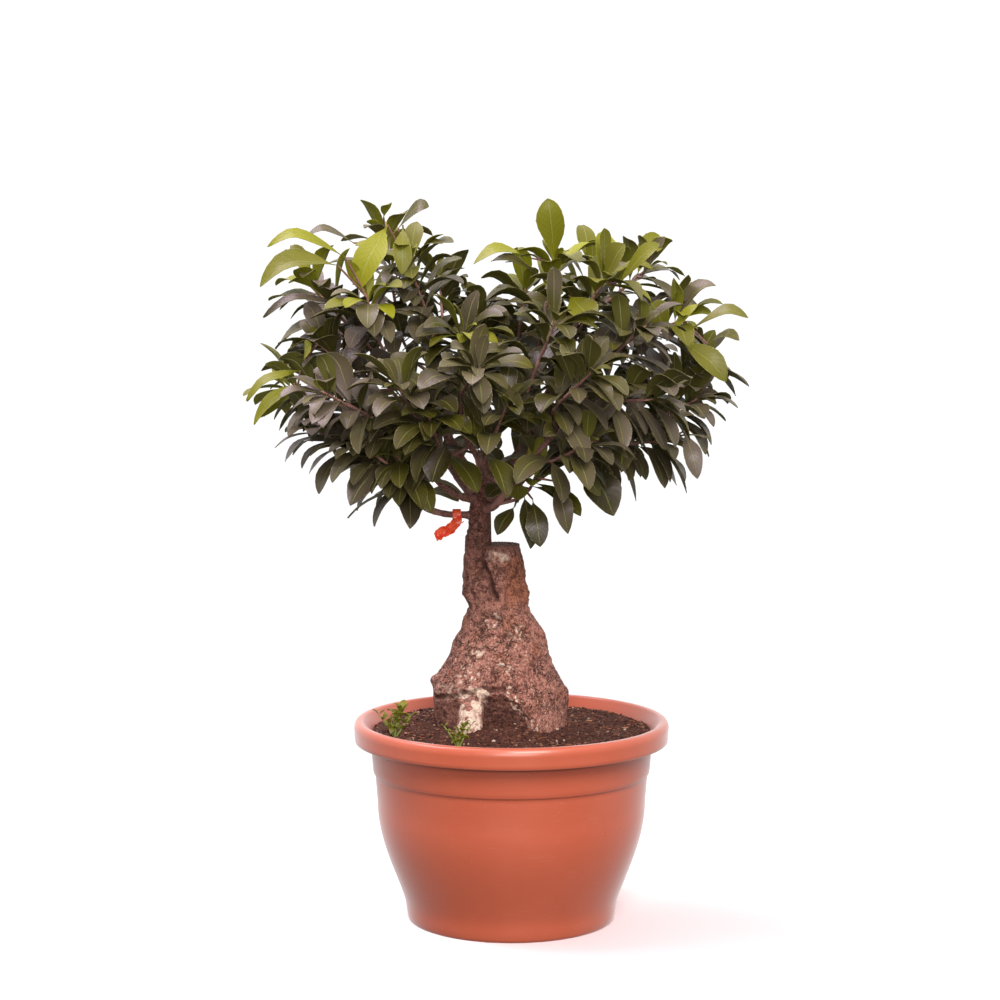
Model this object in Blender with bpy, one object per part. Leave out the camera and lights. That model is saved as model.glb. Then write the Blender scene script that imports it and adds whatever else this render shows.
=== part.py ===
"""A grafted ficus bonsai in a round plastic pot.

The pot is a spun shell that holds a plug of potting soil.  The trunk is seated in a
pocket of that soil, its crown carries the branches, and the branches carry leafy shoots.
Metres, +Z up.  The origin is the centre of the pot's underside.  The viewer stands at -Y.
Heights in the tree are measured from the soil's surface.
"""

import math
import random

import bmesh
import bpy
from mathutils import Matrix, Vector, noise
from mathutils.bvhtree import BVHTree

# --- Driving dimensions -----------------------------------------------------------------

# Pot
RIM_RADIUS = 0.1100
POT_HEIGHT = 0.1405
POT_WALL = 0.0020
POT_FLOOR = 0.0025
FOOT_RADIUS = 0.6618 * RIM_RADIUS
FOOT_HEIGHT = 0.0120
FOOT_RING_WIDTH = 0.0060
FLOOR_RAISE = 0.0030
CENTRE_PAD_RADIUS = 0.0140
BELLY_INSET = 0.0161  # how far the widest part of the belly lies inside the rim
BELLY_BELOW_STEP = 0.0210  # from the step down to the widest part of the belly
COLLAR_HEIGHT = 0.0220
STEP_DEPTH = 0.0013
RIM_BAND_HEIGHT = 0.0145
STEP_HEIGHT = POT_HEIGHT - RIM_BAND_HEIGHT - COLLAR_HEIGHT
BELLY_HEIGHT = STEP_HEIGHT - BELLY_BELOW_STEP
RIM_LIP_WIDTH = 0.0066
DRAIN_HOLE_COUNT = 6
DRAIN_HOLE_RADIUS = 0.0045

# Fits
PIECE_GAP = 0.0004  # between pieces that touch
WATERING_GAP = 0.0065  # from the rim down to the soil

# Tree
TREE_SCALE = 1.0  # scales the branch routes and shoot tips
TRUNK_GIRTH = 1.0  # scales the trunk's sections
LEADER_RADIUS = 0.0084
BRANCH_RADIUS = 0.0028  # at its root, before its own girth
BRANCH_TIP_RADIUS = 0.0017
TWIG_RADIUS = 0.0013
LEAF_LENGTH = 0.0465
LEAF_SLENDERNESS = 0.225  # half width over length
LEAF_THICKNESS = 0.0008
TAPE_WIDTH = 0.0060
TAPE_THICKNESS = 0.0006

# Facets
POT_SEGMENTS = 36
TRUNK_SEGMENTS = 22
BRANCH_SEGMENTS = 6

GOLDEN_ANGLE = math.radians(137.5)
SOIL_LEVEL = POT_HEIGHT - WATERING_GAP
UP = Vector((0, 0, 1))

# The trunk's sections: height over the soil, centre x, half width in x, half width in y.
TRUNK_SECTIONS = (
    (-0.058, -0.006, 0.016, 0.016),
    (-0.046, -0.006, 0.034, 0.032),
    (-0.022, -0.006, 0.042, 0.039),
    (-0.004, -0.006, 0.045, 0.042),
    (0.008, -0.007, 0.0460, 0.042),
    (0.020, -0.008, 0.0468, 0.041),
    (0.028, -0.009, 0.0466, 0.039),
    (0.036, -0.011, 0.0445, 0.036),
    (0.045, -0.010, 0.0385, 0.033),
    (0.054, -0.0085, 0.0345, 0.030),
    (0.062, -0.008, 0.0318, 0.027),
    (0.070, -0.007, 0.0288, 0.025),
    (0.078, -0.009, 0.0250, 0.023),
    (0.0855, -0.009, 0.0205, 0.021),
    (0.094, -0.0105, 0.0210, 0.0200),
    (0.104, -0.0115, 0.0205, 0.0190),
    (0.114, -0.0095, 0.0180, 0.0175),
    (0.123, -0.0080, 0.0148, 0.0155),
    (0.1300, -0.0075, 0.0130, 0.0140),
)
# Buttress roots: direction in degrees from +X, share added to the radius, half width in degrees.
BUTTRESSES = ((-62, 0.13, 26), (-8, 0.05, 22), (60, 0.10, 24), (128, 0.12, 26), (196, 0.05, 20))
BUTTRESS_TOP = 0.070

# The young trunk that rises beside the sawn one: height, x, y, radius over LEADER_RADIUS.
LEADER_ROUTE = (
    (0.078, -0.0185, -0.002, 1.05),
    (0.096, -0.0225, -0.003, 1.14),
    (0.108, -0.0245, -0.003, 1.10),
    (0.119, -0.0242, -0.002, 1.02),
    (0.130, -0.0235, -0.001, 0.97),
    (0.139, -0.0225, 0.000, 0.98),
    (0.147, -0.0210, 0.000, 1.02),
    (0.155, -0.0198, 0.000, 1.06),
    (0.163, -0.0185, 0.000, 1.02),
    (0.170, -0.0175, 0.000, 0.84),
    (0.1745, -0.0170, 0.000, 0.52),
)

# Branch name, girth over the usual, the branch it forks from and how far along (or the
# height at which it leaves the leader), then its route: x, y, height.
BRANCHES = (
    ("branch_left_low", 0.85, None, 0.149,
     ((-0.044, -0.004, 0.151), (-0.058, -0.010, 0.155), (-0.075, -0.016, 0.171), (-0.088, -0.020, 0.182))),
    ("branch_left_mid", 0.95, None, 0.158,
     ((-0.045, -0.016, 0.170), (-0.066, -0.026, 0.193), (-0.088, -0.030, 0.211))),
    ("branch_left_upper", 1.25, None, 0.168,
     ((-0.036, -0.002, 0.191), (-0.055, -0.008, 0.222), (-0.072, -0.016, 0.241), (-0.083, -0.020, 0.257))),
    ("branch_left_top", 0.85, "branch_left_upper", 0.52,
     ((-0.046, -0.002, 0.236), (-0.050, -0.004, 0.256), (-0.054, -0.008, 0.274))),
    ("branch_right_main", 1.40, None, 0.161,
     ((-0.003, -0.010, 0.173), (0.005, -0.016, 0.185), (0.013, -0.022, 0.205), (0.022, -0.026, 0.230),
      (0.030, -0.028, 0.252))),
    ("branch_right_low", 0.90, None, 0.151,
     ((0.004, 0.006, 0.170), (0.030, 0.010, 0.192), (0.058, 0.008, 0.205), (0.082, 0.004, 0.211))),
    ("branch_right_high", 1.10, None, 0.166,
     ((-0.002, 0.016, 0.184), (0.020, 0.030, 0.210), (0.042, 0.036, 0.234), (0.060, 0.034, 0.252))),
    ("branch_back", 1.00, None, 0.171,
     ((-0.020, 0.022, 0.196), (-0.026, 0.042, 0.218), (-0.028, 0.058, 0.240))),
    ("branch_front", 0.90, None, 0.170,
     ((-0.023, -0.020, 0.190), (-0.030, -0.035, 0.204), (-0.034, -0.050, 0.220))),
    ("branch_back_left", 1.00, None, 0.158,
     ((-0.036, 0.022, 0.172), (-0.056, 0.046, 0.196), (-0.080, 0.064, 0.226))),
    ("branch_back_right", 1.00, None, 0.155,
     ((-0.006, 0.030, 0.170), (0.012, 0.058, 0.196), (0.030, 0.078, 0.232))),
    ("branch_front_right", 0.95, None, 0.152,
     ((-0.008, -0.024, 0.163), (0.005, -0.042, 0.181), (0.021, -0.055, 0.202), (0.037, -0.062, 0.218))),
)

# Shoot name, branch, how far along it (1 is its end), tip (x, y, height), number of leaves.
SHOOTS = (
    ("shoot_left_low_outer", "branch_left_low", 1.0, (-0.134, -0.034, 0.212), 9),
    ("shoot_left_low_front", "branch_left_mid", 0.55, (-0.100, -0.066, 0.204), 8),
    ("shoot_left_low_inner", "branch_left_low", 0.72, (-0.076, -0.054, 0.190), 7),
    ("shoot_left_lowest", "branch_left_low", 0.50, (-0.078, 0.000, 0.178), 4),
    ("shoot_left_edge", "branch_left_mid", 1.0, (-0.152, -0.012, 0.238), 9),
    ("shoot_left_front", "branch_left_mid", 0.86, (-0.122, -0.084, 0.238), 9),
    ("shoot_left_mid_front", "branch_front", 0.85, (-0.074, -0.096, 0.242), 9),
    ("shoot_left_upper", "branch_left_upper", 1.0, (-0.096, -0.052, 0.298), 9),
    ("shoot_left_side", "branch_left_upper", 0.80, (-0.130, -0.024, 0.268), 9),
    ("shoot_left_far", "branch_left_upper", 0.92, (-0.138, -0.002, 0.308), 9),
    ("shoot_left_top", "branch_left_top", 1.0, (-0.070, -0.030, 0.322), 9),
    ("shoot_left_top_back", "branch_left_top", 0.80, (-0.050, 0.030, 0.310), 8),
    ("shoot_left_crest", "branch_left_top", 0.45, (-0.088, 0.034, 0.340), 9),
    ("shoot_left_back_upper", "branch_back_left", 1.0, (-0.128, 0.062, 0.280), 8),
    ("shoot_left_back_edge", "branch_back_left", 0.80, (-0.142, 0.076, 0.240), 8),
    ("shoot_left_back_low", "branch_back_left", 0.55, (-0.092, 0.094, 0.206), 8),
    ("shoot_centre_left", "branch_left_top", 0.62, (-0.032, -0.056, 0.276), 8),
    ("shoot_centre_front", "branch_front", 1.0, (-0.022, -0.098, 0.254), 9),
    ("shoot_centre_front_low", "branch_front", 0.60, (-0.054, -0.090, 0.222), 8),
    ("shoot_centre_right_low", "branch_front_right", 0.34, (-0.004, -0.098, 0.230), 8),
    ("shoot_centre_back_top", "branch_back", 0.80, (-0.022, 0.034, 0.286), 8),
    ("shoot_centre_back", "branch_back", 1.0, (-0.022, 0.098, 0.276), 9),
    ("shoot_centre_back_low", "branch_back", 0.45, (-0.036, 0.100, 0.212), 8),
    ("shoot_right_top", "branch_right_main", 0.88, (0.030, -0.010, 0.322), 9),
    ("shoot_right_top_front", "branch_right_main", 1.0, (0.062, -0.050, 0.312), 9),
    ("shoot_right_top_outer", "branch_right_high", 0.88, (0.094, 0.018, 0.320), 9),
    ("shoot_right_inner_top", "branch_right_high", 0.52, (0.010, 0.040, 0.304), 8),
    ("shoot_right_crest_back", "branch_back_right", 0.86, (0.058, 0.066, 0.322), 8),
    ("shoot_right_upper", "branch_right_high", 1.0, (0.114, -0.012, 0.284), 9),
    ("shoot_right_upper_front", "branch_front_right", 0.80, (0.086, -0.066, 0.280), 9),
    ("shoot_right_mid_inner", "branch_right_main", 0.66, (0.028, -0.082, 0.284), 9),
    ("shoot_right_mid_front", "branch_front_right", 0.92, (0.050, -0.108, 0.252), 9),
    ("shoot_right_edge", "branch_right_low", 0.88, (0.132, 0.030, 0.252), 9),
    ("shoot_right_edge_low", "branch_right_low", 1.0, (0.126, -0.008, 0.230), 9),
    ("shoot_right_front", "branch_front_right", 1.0, (0.096, -0.078, 0.234), 9),
    ("shoot_right_front_low", "branch_front_right", 0.70, (0.050, -0.094, 0.206), 8),
    ("shoot_right_low_outer", "branch_right_low", 0.74, (0.100, -0.044, 0.204), 8),
    ("shoot_right_low_back", "branch_right_low", 0.62, (0.084, 0.058, 0.200), 8),
    ("shoot_right_lowest", "branch_front_right", 0.16, (0.016, -0.050, 0.178), 7),
    ("shoot_right_back_upper", "branch_right_high", 0.72, (0.096, 0.086, 0.262), 9),
    ("shoot_right_back_top", "branch_back_right", 1.0, (0.026, 0.118, 0.272), 9),
    ("shoot_right_back_low", "branch_back_right", 0.55, (0.058, 0.106, 0.208), 8),
)

# The tape's tail: x, y, height.
TAPE_TAIL = ((-0.0375, -0.0090, 0.1470), (-0.0410, -0.0105, 0.1425), (-0.0470, -0.0125, 0.1390),
             (-0.0530, -0.0150, 0.1365))

# Seedlings in the soil: name, x and y over the rim's radius, height of the sprig, leaf length.
SEEDLINGS = (
    ("seedling_left", -0.727, -0.309, 0.016, 0.0120),
    ("seedling_front", -0.327, -0.673, 0.013, 0.0080),
)


# --- Helpers ----------------------------------------------------------------------------


def clear_scene():
    for obj in list(bpy.data.objects):
        bpy.data.objects.remove(obj)


def material(name, colour, roughness):
    made = bpy.data.materials.new(name)
    made.use_nodes = True
    shader = made.node_tree.nodes["Principled BSDF"]
    shader.inputs["Base Color"].default_value = (*colour, 1)
    shader.inputs["Roughness"].default_value = roughness
    shader.inputs["Metallic"].default_value = 0
    return made


def add_object(name, bm, surface, sharp=math.radians(40)):
    """Makes bm a named object, shaded smooth with its sharp edges kept."""
    mesh = bpy.data.meshes.new(name)
    bm.to_mesh(mesh)
    bm.free()
    mesh.shade_smooth()
    mesh.set_sharp_from_angle(angle=sharp)
    mesh.materials.append(surface)
    obj = bpy.data.objects.new(name, mesh)
    bpy.context.scene.collection.objects.link(obj)
    return obj


def helper(name, bm):
    """A cutter or a piece to be joined: an object that is no part of the model."""
    mesh = bpy.data.meshes.new(name)
    bm.to_mesh(mesh)
    bm.free()
    obj = bpy.data.objects.new(name, mesh)
    obj.hide_render = True
    obj.display_type = "WIRE"
    bpy.context.scene.collection.objects.link(obj)
    return obj


def combine(obj, other, operation):
    modifier = obj.modifiers.new(f"{operation.lower()}_{other.name}", "BOOLEAN")
    modifier.operation = operation
    modifier.solver = "EXACT"
    modifier.object = other


def apply_modifiers(obj):
    graph = bpy.context.evaluated_depsgraph_get()
    evaluated = bpy.data.meshes.new_from_object(obj.evaluated_get(graph))
    obj.modifiers.clear()
    obj.data = evaluated


def tree_point(point):
    """A point of the tree, given over the soil, in the model's frame."""
    x, y, height = point
    return Vector((x, y, height)) * TREE_SCALE + UP * SOIL_LEVEL


def extrude_to(bm, face, places):
    """Extrudes face, in place of itself, to the given corners, and returns the new face."""
    made = bmesh.ops.extrude_discrete_faces(bm, faces=[face])["faces"][0]
    for vert, place in zip(made.verts, places):
        vert.co = place
    return made


def loft(bm, rings):
    """A closed solid through rings of points, each anticlockwise as seen from the far end.
    Returns the end face and, for each span, the faces of its sides."""
    face = bm.faces.new([bm.verts.new(place) for place in rings[0]])
    near_end = list(face.edges)
    spans = []
    for ring in rings[1:]:
        face = extrude_to(bm, face, ring)
        spans.append([next(f for f in edge.link_faces if f is not face) for edge in face.edges])
    bmesh.ops.holes_fill(bm, edges=near_end, sides=len(near_end))
    return face, spans


def circle(centre, across, over, radius, sides):
    """Points anticlockwise about across x over."""
    return [
        centre
        + across * radius * math.cos(math.tau * k / sides)
        + over * radius * math.sin(math.tau * k / sides)
        for k in range(sides)
    ]


def through(points, count):
    """count places evenly spread along a smooth curve through points, with their directions."""
    padded = [2 * points[0] - points[1], *points, 2 * points[-1] - points[-2]]
    fine, steps = [], 12
    for a, b, c, d in zip(padded, padded[1:], padded[2:], padded[3:]):
        for k in range(steps):
            t = k / steps
            fine.append(0.5 * (2 * b + (c - a) * t + (2 * a - 5 * b + 4 * c - d) * t**2
                               + (3 * b - a - 3 * c + d) * t**3))
    fine.append(points[-1])
    walked = [0.0]
    for a, b in zip(fine, fine[1:]):
        walked.append(walked[-1] + (b - a).length)
    places, k = [], 0
    for i in range(count):
        goal = walked[-1] * i / (count - 1)
        while k < len(fine) - 2 and walked[k + 1] < goal:
            k += 1
        share = (goal - walked[k]) / max(walked[k + 1] - walked[k], 1e-9)
        places.append(fine[k].lerp(fine[k + 1], min(share, 1)))
    ways = []
    for i in range(count):
        ways.append((places[min(i + 1, count - 1)] - places[max(i - 1, 0)]).normalized())
    return places, ways


def square_to(way, near):
    """The unit vector square to way that is nearest to near."""
    return (near - way * near.dot(way)).normalized()


def tube_rings(places, ways, radii, sides):
    """Rings along a tube that don't twist, and each ring's two axes."""
    across = square_to(ways[0], UP if abs(ways[0].z) < 0.9 else Vector((1, 0, 0)))
    rings, axes = [], []
    for place, way, radius in zip(places, ways, radii):
        across = square_to(way, across)
        over = way.cross(across)
        rings.append(circle(place, across, over, radius, sides))
        axes.append((across, over))
    return rings, axes


def seat_on(surface, centre, outwards, reach=0.04):
    """The place and normal where a ray towards centre meets surface, a gap above it."""
    place, normal, _, _ = surface.ray_cast(centre + outwards * reach, -outwards)
    return place + normal * PIECE_GAP, normal


# --- Pot --------------------------------------------------------------------------------


def pot_wall_radius(height):
    """The outer radius of the pot's wall, from the foot up to the rim's underside."""
    belly = RIM_RADIUS - BELLY_INSET
    foot_top = FOOT_RADIUS + 0.0017
    if height <= FOOT_HEIGHT:
        return FOOT_RADIUS + (foot_top - FOOT_RADIUS) * height / FOOT_HEIGHT
    if height <= BELLY_HEIGHT:
        share = (height - FOOT_HEIGHT) / (BELLY_HEIGHT - FOOT_HEIGHT)
        return foot_top + (belly - foot_top) * math.sin(share * math.pi / 2) ** 1.2
    flare = 0.0015 * (height - BELLY_HEIGHT) / (STEP_HEIGHT - BELLY_HEIGHT)
    if height <= STEP_HEIGHT:
        return belly + flare
    rise = (height - STEP_HEIGHT) / COLLAR_HEIGHT
    return belly + 0.0015 + STEP_DEPTH + 0.0018 * rise


def pot_heights():
    """Heights of the wall's rings, closer where it curves."""
    curve = [FOOT_HEIGHT + (BELLY_HEIGHT - FOOT_HEIGHT) * k / 7 for k in range(1, 8)]
    return [FOOT_HEIGHT, *curve, STEP_HEIGHT, POT_HEIGHT - RIM_BAND_HEIGHT]


def inner_wall():
    """The pot's inner surface from the floor up to the lip, as radius and height."""
    inside_floor = FLOOR_RAISE + POT_FLOOR
    wall = [(pot_wall_radius(inside_floor) - POT_WALL, inside_floor)]
    wall += [(pot_wall_radius(z) - POT_WALL, z) for z in pot_heights()]
    wall.append((wall[-1][0] + 0.0006, POT_HEIGHT - 0.0100))
    wall.append((RIM_RADIUS - RIM_LIP_WIDTH, POT_HEIGHT - 0.0012))
    return wall


def make_pot(plastic):
    under_rim = POT_HEIGHT - RIM_BAND_HEIGHT
    collar_top = pot_wall_radius(under_rim)
    shelf = POT_HEIGHT - 0.0045
    outline = [(0, 0), (CENTRE_PAD_RADIUS, 0), (CENTRE_PAD_RADIUS + 0.001, FLOOR_RAISE),
               (FOOT_RADIUS - FOOT_RING_WIDTH - 0.001, FLOOR_RAISE),
               (FOOT_RADIUS - FOOT_RING_WIDTH, 0), (FOOT_RADIUS - 0.0016, 0),
               (FOOT_RADIUS - 0.0003, 0.0010)]
    for z in pot_heights()[:-1]:
        outline.append((pot_wall_radius(z), z))
        if z == STEP_HEIGHT:
            outline.append((pot_wall_radius(z + 1e-6), z + 0.0003))
    outline += [(collar_top, under_rim), (collar_top + 0.0006, shelf - 0.0062),
                (RIM_RADIUS - RIM_LIP_WIDTH + 0.0010, shelf), (RIM_RADIUS - POT_WALL - 0.0006, shelf),
                (RIM_RADIUS - POT_WALL - 0.0006, under_rim), (RIM_RADIUS - 0.0006, under_rim),
                (RIM_RADIUS, POT_HEIGHT - 0.0050), (RIM_RADIUS - 0.0010, POT_HEIGHT - 0.0016),
                (RIM_RADIUS - 0.0030, POT_HEIGHT), (RIM_RADIUS - RIM_LIP_WIDTH + 0.0012, POT_HEIGHT)]
    outline += [point for point in reversed(inner_wall())]
    outline.append((0, FLOOR_RAISE + POT_FLOOR))
    bm = bmesh.new()
    verts = [bm.verts.new((r, 0, z)) for r, z in outline]
    edges = [bm.edges.new(pair) for pair in zip(verts, verts[1:])]
    bmesh.ops.spin(bm, geom=[*verts, *edges], cent=(0, 0, 0), axis=(0, 0, 1),
                   angle=math.tau, steps=POT_SEGMENTS, use_merge=True)
    bmesh.ops.remove_doubles(bm, verts=bm.verts, dist=1e-6)
    bmesh.ops.recalc_face_normals(bm, faces=bm.faces)
    pot = add_object("pot", bm, plastic)
    pitch = (CENTRE_PAD_RADIUS + FOOT_RADIUS - FOOT_RING_WIDTH) / 2
    for k in range(DRAIN_HOLE_COUNT):
        angle = math.tau * (k + 0.5) / DRAIN_HOLE_COUNT
        drill = bmesh.new()
        bmesh.ops.create_cone(drill, cap_ends=True, segments=12, radius1=DRAIN_HOLE_RADIUS,
                              radius2=DRAIN_HOLE_RADIUS, depth=3 * (FLOOR_RAISE + POT_FLOOR))
        bmesh.ops.translate(drill, verts=drill.verts,
                            vec=(pitch * math.cos(angle), pitch * math.sin(angle), FLOOR_RAISE))
        combine(pot, helper(f"drill_{k}", drill), "DIFFERENCE")
    return pot


# --- Trunk ------------------------------------------------------------------------------


def trunk_ring(height, middle, wide, deep, extra):
    """One section of the trunk, lobed by its buttress roots lower down."""
    fade = max(0.0, min(1.0, 1 - height / BUTTRESS_TOP)) if height > 0 else 1.0
    ring = []
    for k in range(TRUNK_SEGMENTS):
        angle = math.tau * k / TRUNK_SEGMENTS
        swell = 0.0
        for direction, strength, spread in BUTTRESSES:
            off = (math.degrees(angle) - direction + 180) % 360 - 180
            swell += strength * math.exp(-((off / spread) ** 2))
        lumps = 0.035 * noise.noise(Vector((math.cos(angle) * 1.6, math.sin(angle) * 1.6, height * 45)))
        share = TRUNK_GIRTH * (1 + fade * (swell - 0.045) + lumps)
        ring.append(tree_point((middle + (wide * share + extra) * math.cos(angle),
                                (deep * share + extra) * math.sin(angle), height)))
    return ring


def root_stock(extra):
    """The trunk's body, as a mesh, extra larger all round."""
    bm = bmesh.new()
    rings = [trunk_ring(*section, extra) for section in TRUNK_SECTIONS]
    rings[0] = [place - UP * extra for place in rings[0]]
    loft(bm, rings)
    return bm


def hollow_below(extra):
    """The arch-shaped hollow under the trunk's front, extra smaller all round."""
    bm = bmesh.new()
    bmesh.ops.create_uvsphere(bm, u_segments=14, v_segments=8, radius=1)
    size = Vector((0.030, 0.022, 0.034)) * TRUNK_GIRTH - Vector((extra, extra, extra))
    bmesh.ops.scale(bm, verts=bm.verts, vec=size)
    bmesh.ops.translate(bm, verts=bm.verts, vec=tree_point((-0.013, -0.047 * TRUNK_GIRTH, 0)))
    return bm


def pale_root(extra):
    """The bare root that comes down in front of the hollow, extra larger all round."""
    line = ((0.034, -0.0290, -0.022, 0.0070), (0.022, -0.0285, -0.034, 0.0088),
            (0.006, -0.0285, -0.041, 0.0095), (-0.012, -0.0280, -0.043, 0.0105),
            (-0.030, -0.0240, -0.034, 0.0095), (-0.046, -0.0160, -0.016, 0.0080))
    bm = bmesh.new()
    x_axis, minus_y = Vector((1, 0, 0)), Vector((0, -1, 0))
    loft(bm, [circle(tree_point((x, y * TRUNK_GIRTH, h)), x_axis, minus_y, r + extra, 10)
              for h, x, y, r in line])
    return bm


def leader_stem():
    bm = bmesh.new()
    x_axis, y_axis = Vector((1, 0, 0)), Vector((0, 1, 0))
    loft(bm, [circle(tree_point((x, y, h)), x_axis, y_axis, LEADER_RADIUS * share, 14)
              for h, x, y, share in LEADER_ROUTE])
    return bm


def make_trunk(bark):
    trunk = add_object("trunk", root_stock(0), bark)
    combine(trunk, helper("hollow", hollow_below(0)), "DIFFERENCE")
    combine(trunk, helper("pale_root", pale_root(0)), "UNION")
    combine(trunk, helper("leader", leader_stem()), "UNION")
    apply_modifiers(trunk)
    return trunk


# --- Soil -------------------------------------------------------------------------------


def soil_height(x, y):
    """The soil's surface: low lumps, and a slight mound round the trunk."""
    mound = 0.0030 * math.exp(-((math.hypot(x + 0.008, y) / 0.060) ** 4))
    heap = 0.0090 * math.exp(-((math.hypot(x + 0.010, y + 0.040) / 0.022) ** 2))
    lumps = 0.0016 * noise.noise(Vector((x * 38, y * 38, 2.0)))
    return SOIL_LEVEL + mound + heap + lumps


def make_soil(earth):
    wall = [(r - PIECE_GAP, z) for r, z in inner_wall() if z < SOIL_LEVEL - 0.003]
    wall[0] = (wall[0][0], wall[0][1] + PIECE_GAP)
    (low_r, low_z), (high_r, high_z) = inner_wall()[-2:]
    top_r = low_r + (high_r - low_r) * (SOIL_LEVEL - low_z) / (high_z - low_z) - 3 * PIECE_GAP
    wall.append((top_r, SOIL_LEVEL - 0.0008))
    bm = bmesh.new()
    x_axis, y_axis = Vector((1, 0, 0)), Vector((0, 1, 0))
    rings = [circle(Vector((0, 0, z)), x_axis, y_axis, r, POT_SEGMENTS) for r, z in wall]
    for share in (0.93, 0.80, 0.67, 0.54, 0.41, 0.24):
        flat = circle(Vector(), x_axis, y_axis, top_r * share, POT_SEGMENTS)
        rings.append([Vector((p.x, p.y, soil_height(p.x, p.y))) for p in flat])
    loft(bm, rings)
    soil = add_object("soil", bm, earth)
    pocket = helper("pocket", root_stock(PIECE_GAP))
    combine(pocket, helper("pocket_hollow", hollow_below(PIECE_GAP)), "DIFFERENCE")
    combine(pocket, helper("pocket_root", pale_root(PIECE_GAP)), "UNION")
    combine(soil, pocket, "DIFFERENCE")
    return soil


# --- Branches ---------------------------------------------------------------------------


def surface_of(bm):
    return BVHTree.FromBMesh(bm)


def mesh_surface(obj):
    bm = bmesh.new()
    bm.from_mesh(obj.data)
    made = surface_of(bm)
    bm.free()
    return made


class Limb:
    """A grown branch: its centre line, and its surface for what grows on it."""

    def __init__(self, places, ways, radii, surface):
        self.places, self.ways, self.radii, self.surface = places, ways, radii, surface

    def at(self, share):
        spot = share * (len(self.places) - 1)
        k = min(int(spot), len(self.places) - 2)
        place = self.places[k].lerp(self.places[k + 1], spot - k)
        return place, self.ways[k].lerp(self.ways[k + 1], spot - k).normalized()

    def seat(self, share, towards):
        """Where a shoot that heads for towards sits: on the limb's end, or on its side."""
        place, way = self.at(min(share, 0.97))
        if share >= 1:
            return seat_on(self.surface, place, way)
        return seat_on(self.surface, place, square_to(way, towards - place))


def seated_route(seat, normal, route):
    """The route from its seat on, with a first point straight out of the seat."""
    first = (route[0] - seat).length
    return [seat, seat + normal * min(0.006, 0.4 * first), *route]


def leader_axis(height):
    """The point of the leader's axis at a height over the soil."""
    for (h0, x0, y0, _), (h1, x1, y1, _) in zip(LEADER_ROUTE, LEADER_ROUTE[1:]):
        if height <= h1:
            share = (height - h0) / (h1 - h0)
            return tree_point((x0 + (x1 - x0) * share, y0 + (y1 - y0) * share, height))


def make_branches(bark, trunk_surface):
    limbs = {}
    for name, girth, parent, start, route in BRANCHES:
        route = [tree_point(point) for point in route]
        if parent:
            seat, normal = limbs[parent].seat(start, route[0])
        else:
            axis = leader_axis(start)
            seat, normal = seat_on(trunk_surface, axis, (route[0] - axis).normalized())
        places, ways = through(seated_route(seat, normal, route), 2 * len(route) + 3)
        ways[0] = normal
        root = BRANCH_RADIUS * girth
        radii = [root + (BRANCH_TIP_RADIUS - root) * k / (len(places) - 1) for k in range(len(places))]
        bm = bmesh.new()
        rings, _ = tube_rings(places, ways, radii, BRANCH_SEGMENTS)
        loft(bm, rings)
        limbs[name] = Limb(places, ways, radii, surface_of(bm))
        add_object(name, bm, bark)
    return limbs


# --- Shoots and leaves ------------------------------------------------------------------


class Leaf:
    """A leaf's place: the line of its midrib, and the direction across it at each point."""

    PLACES = (0.0, 0.36, 0.70, 1.0)  # twig, widening, widest, tip
    WIDTHS = (0.0, 0.90, 1.0, 0.0)

    def __init__(self, face, base, way, face_up, length, arch, thickness):
        self.face, self.length, self.thickness = face, length, thickness
        self.foot = [vert.co.copy() for vert in face.verts]
        self.line, self.sides, self.normals = [base], [], []
        for k, (near, far) in enumerate(zip(self.PLACES, self.PLACES[1:])):
            bent = (way - UP * arch * (0.15, 0.55, 0.95)[k]).normalized()
            normal = square_to(bent, self.normals[-1] if k else face_up)
            self.line.append(self.line[-1] + bent * length * (far - near))
            self.sides.append(bent.cross(normal))
            self.normals.append(normal)
        first = self.ring(1)
        self.shift = min(range(4), key=lambda s: sum(
            (first[(k + s) % 4] - self.foot[k]).length for k in range(4)))

    def ring(self, k, room=0.0):
        """The section at the k-th place.  The upper face is a little the wider."""
        half = self.sides[k - 1] * (self.length * LEAF_SLENDERNESS * self.WIDTHS[k] + room)
        rise = self.normals[k - 1] * (self.thickness / 2 + room)
        above, below = self.line[k] + rise, self.line[k] - rise
        return [above - half, above + half, below + half * 0.95, below - half * 0.95]

    def corners(self, k):
        """The ring at the k-th place in the order of the twig's face."""
        ring = self.ring(k)
        return [ring[(i + self.shift) % 4] for i in range(4)]

    def shell(self, room, skip=0.0):
        """The leaf, with room round it, as a surface to test for what is in the way."""
        ring = self.ring(1, room)
        ring = [ring[(i + self.shift) % 4] for i in range(4)]
        middle = self.line[0]
        start = [middle + (place - middle) * (1 + room / 0.0008) for place in self.foot]
        start = [a.lerp(b, skip) for a, b in zip(start, ring)]
        wide = self.ring(2, room)
        wide = [wide[(i + self.shift) % 4] for i in range(4)]
        tip = self.line[3] + (self.line[3] - self.line[2]).normalized() * room
        faces = [(0, 1, 2, 3)]
        for low in (0, 4):
            faces += [(low + k, low + (k + 1) % 4, low + 4 + (k + 1) % 4, low + 4 + k) for k in range(4)]
        faces += [(8 + k, 8 + (k + 1) % 4, 12) for k in range(4)]
        return BVHTree.FromPolygons([*start, *ring, *wide, tip], faces)

    def grow(self, bm):
        """Extrudes the leaf out of its face of the twig."""
        face = self.face
        for k in (1, 2):
            face = extrude_to(bm, face, self.corners(k))
        tip = extrude_to(bm, face, [self.line[3]] * 4)
        bmesh.ops.pointmerge(bm, verts=list(tip.verts), merge_co=self.line[3])


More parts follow.
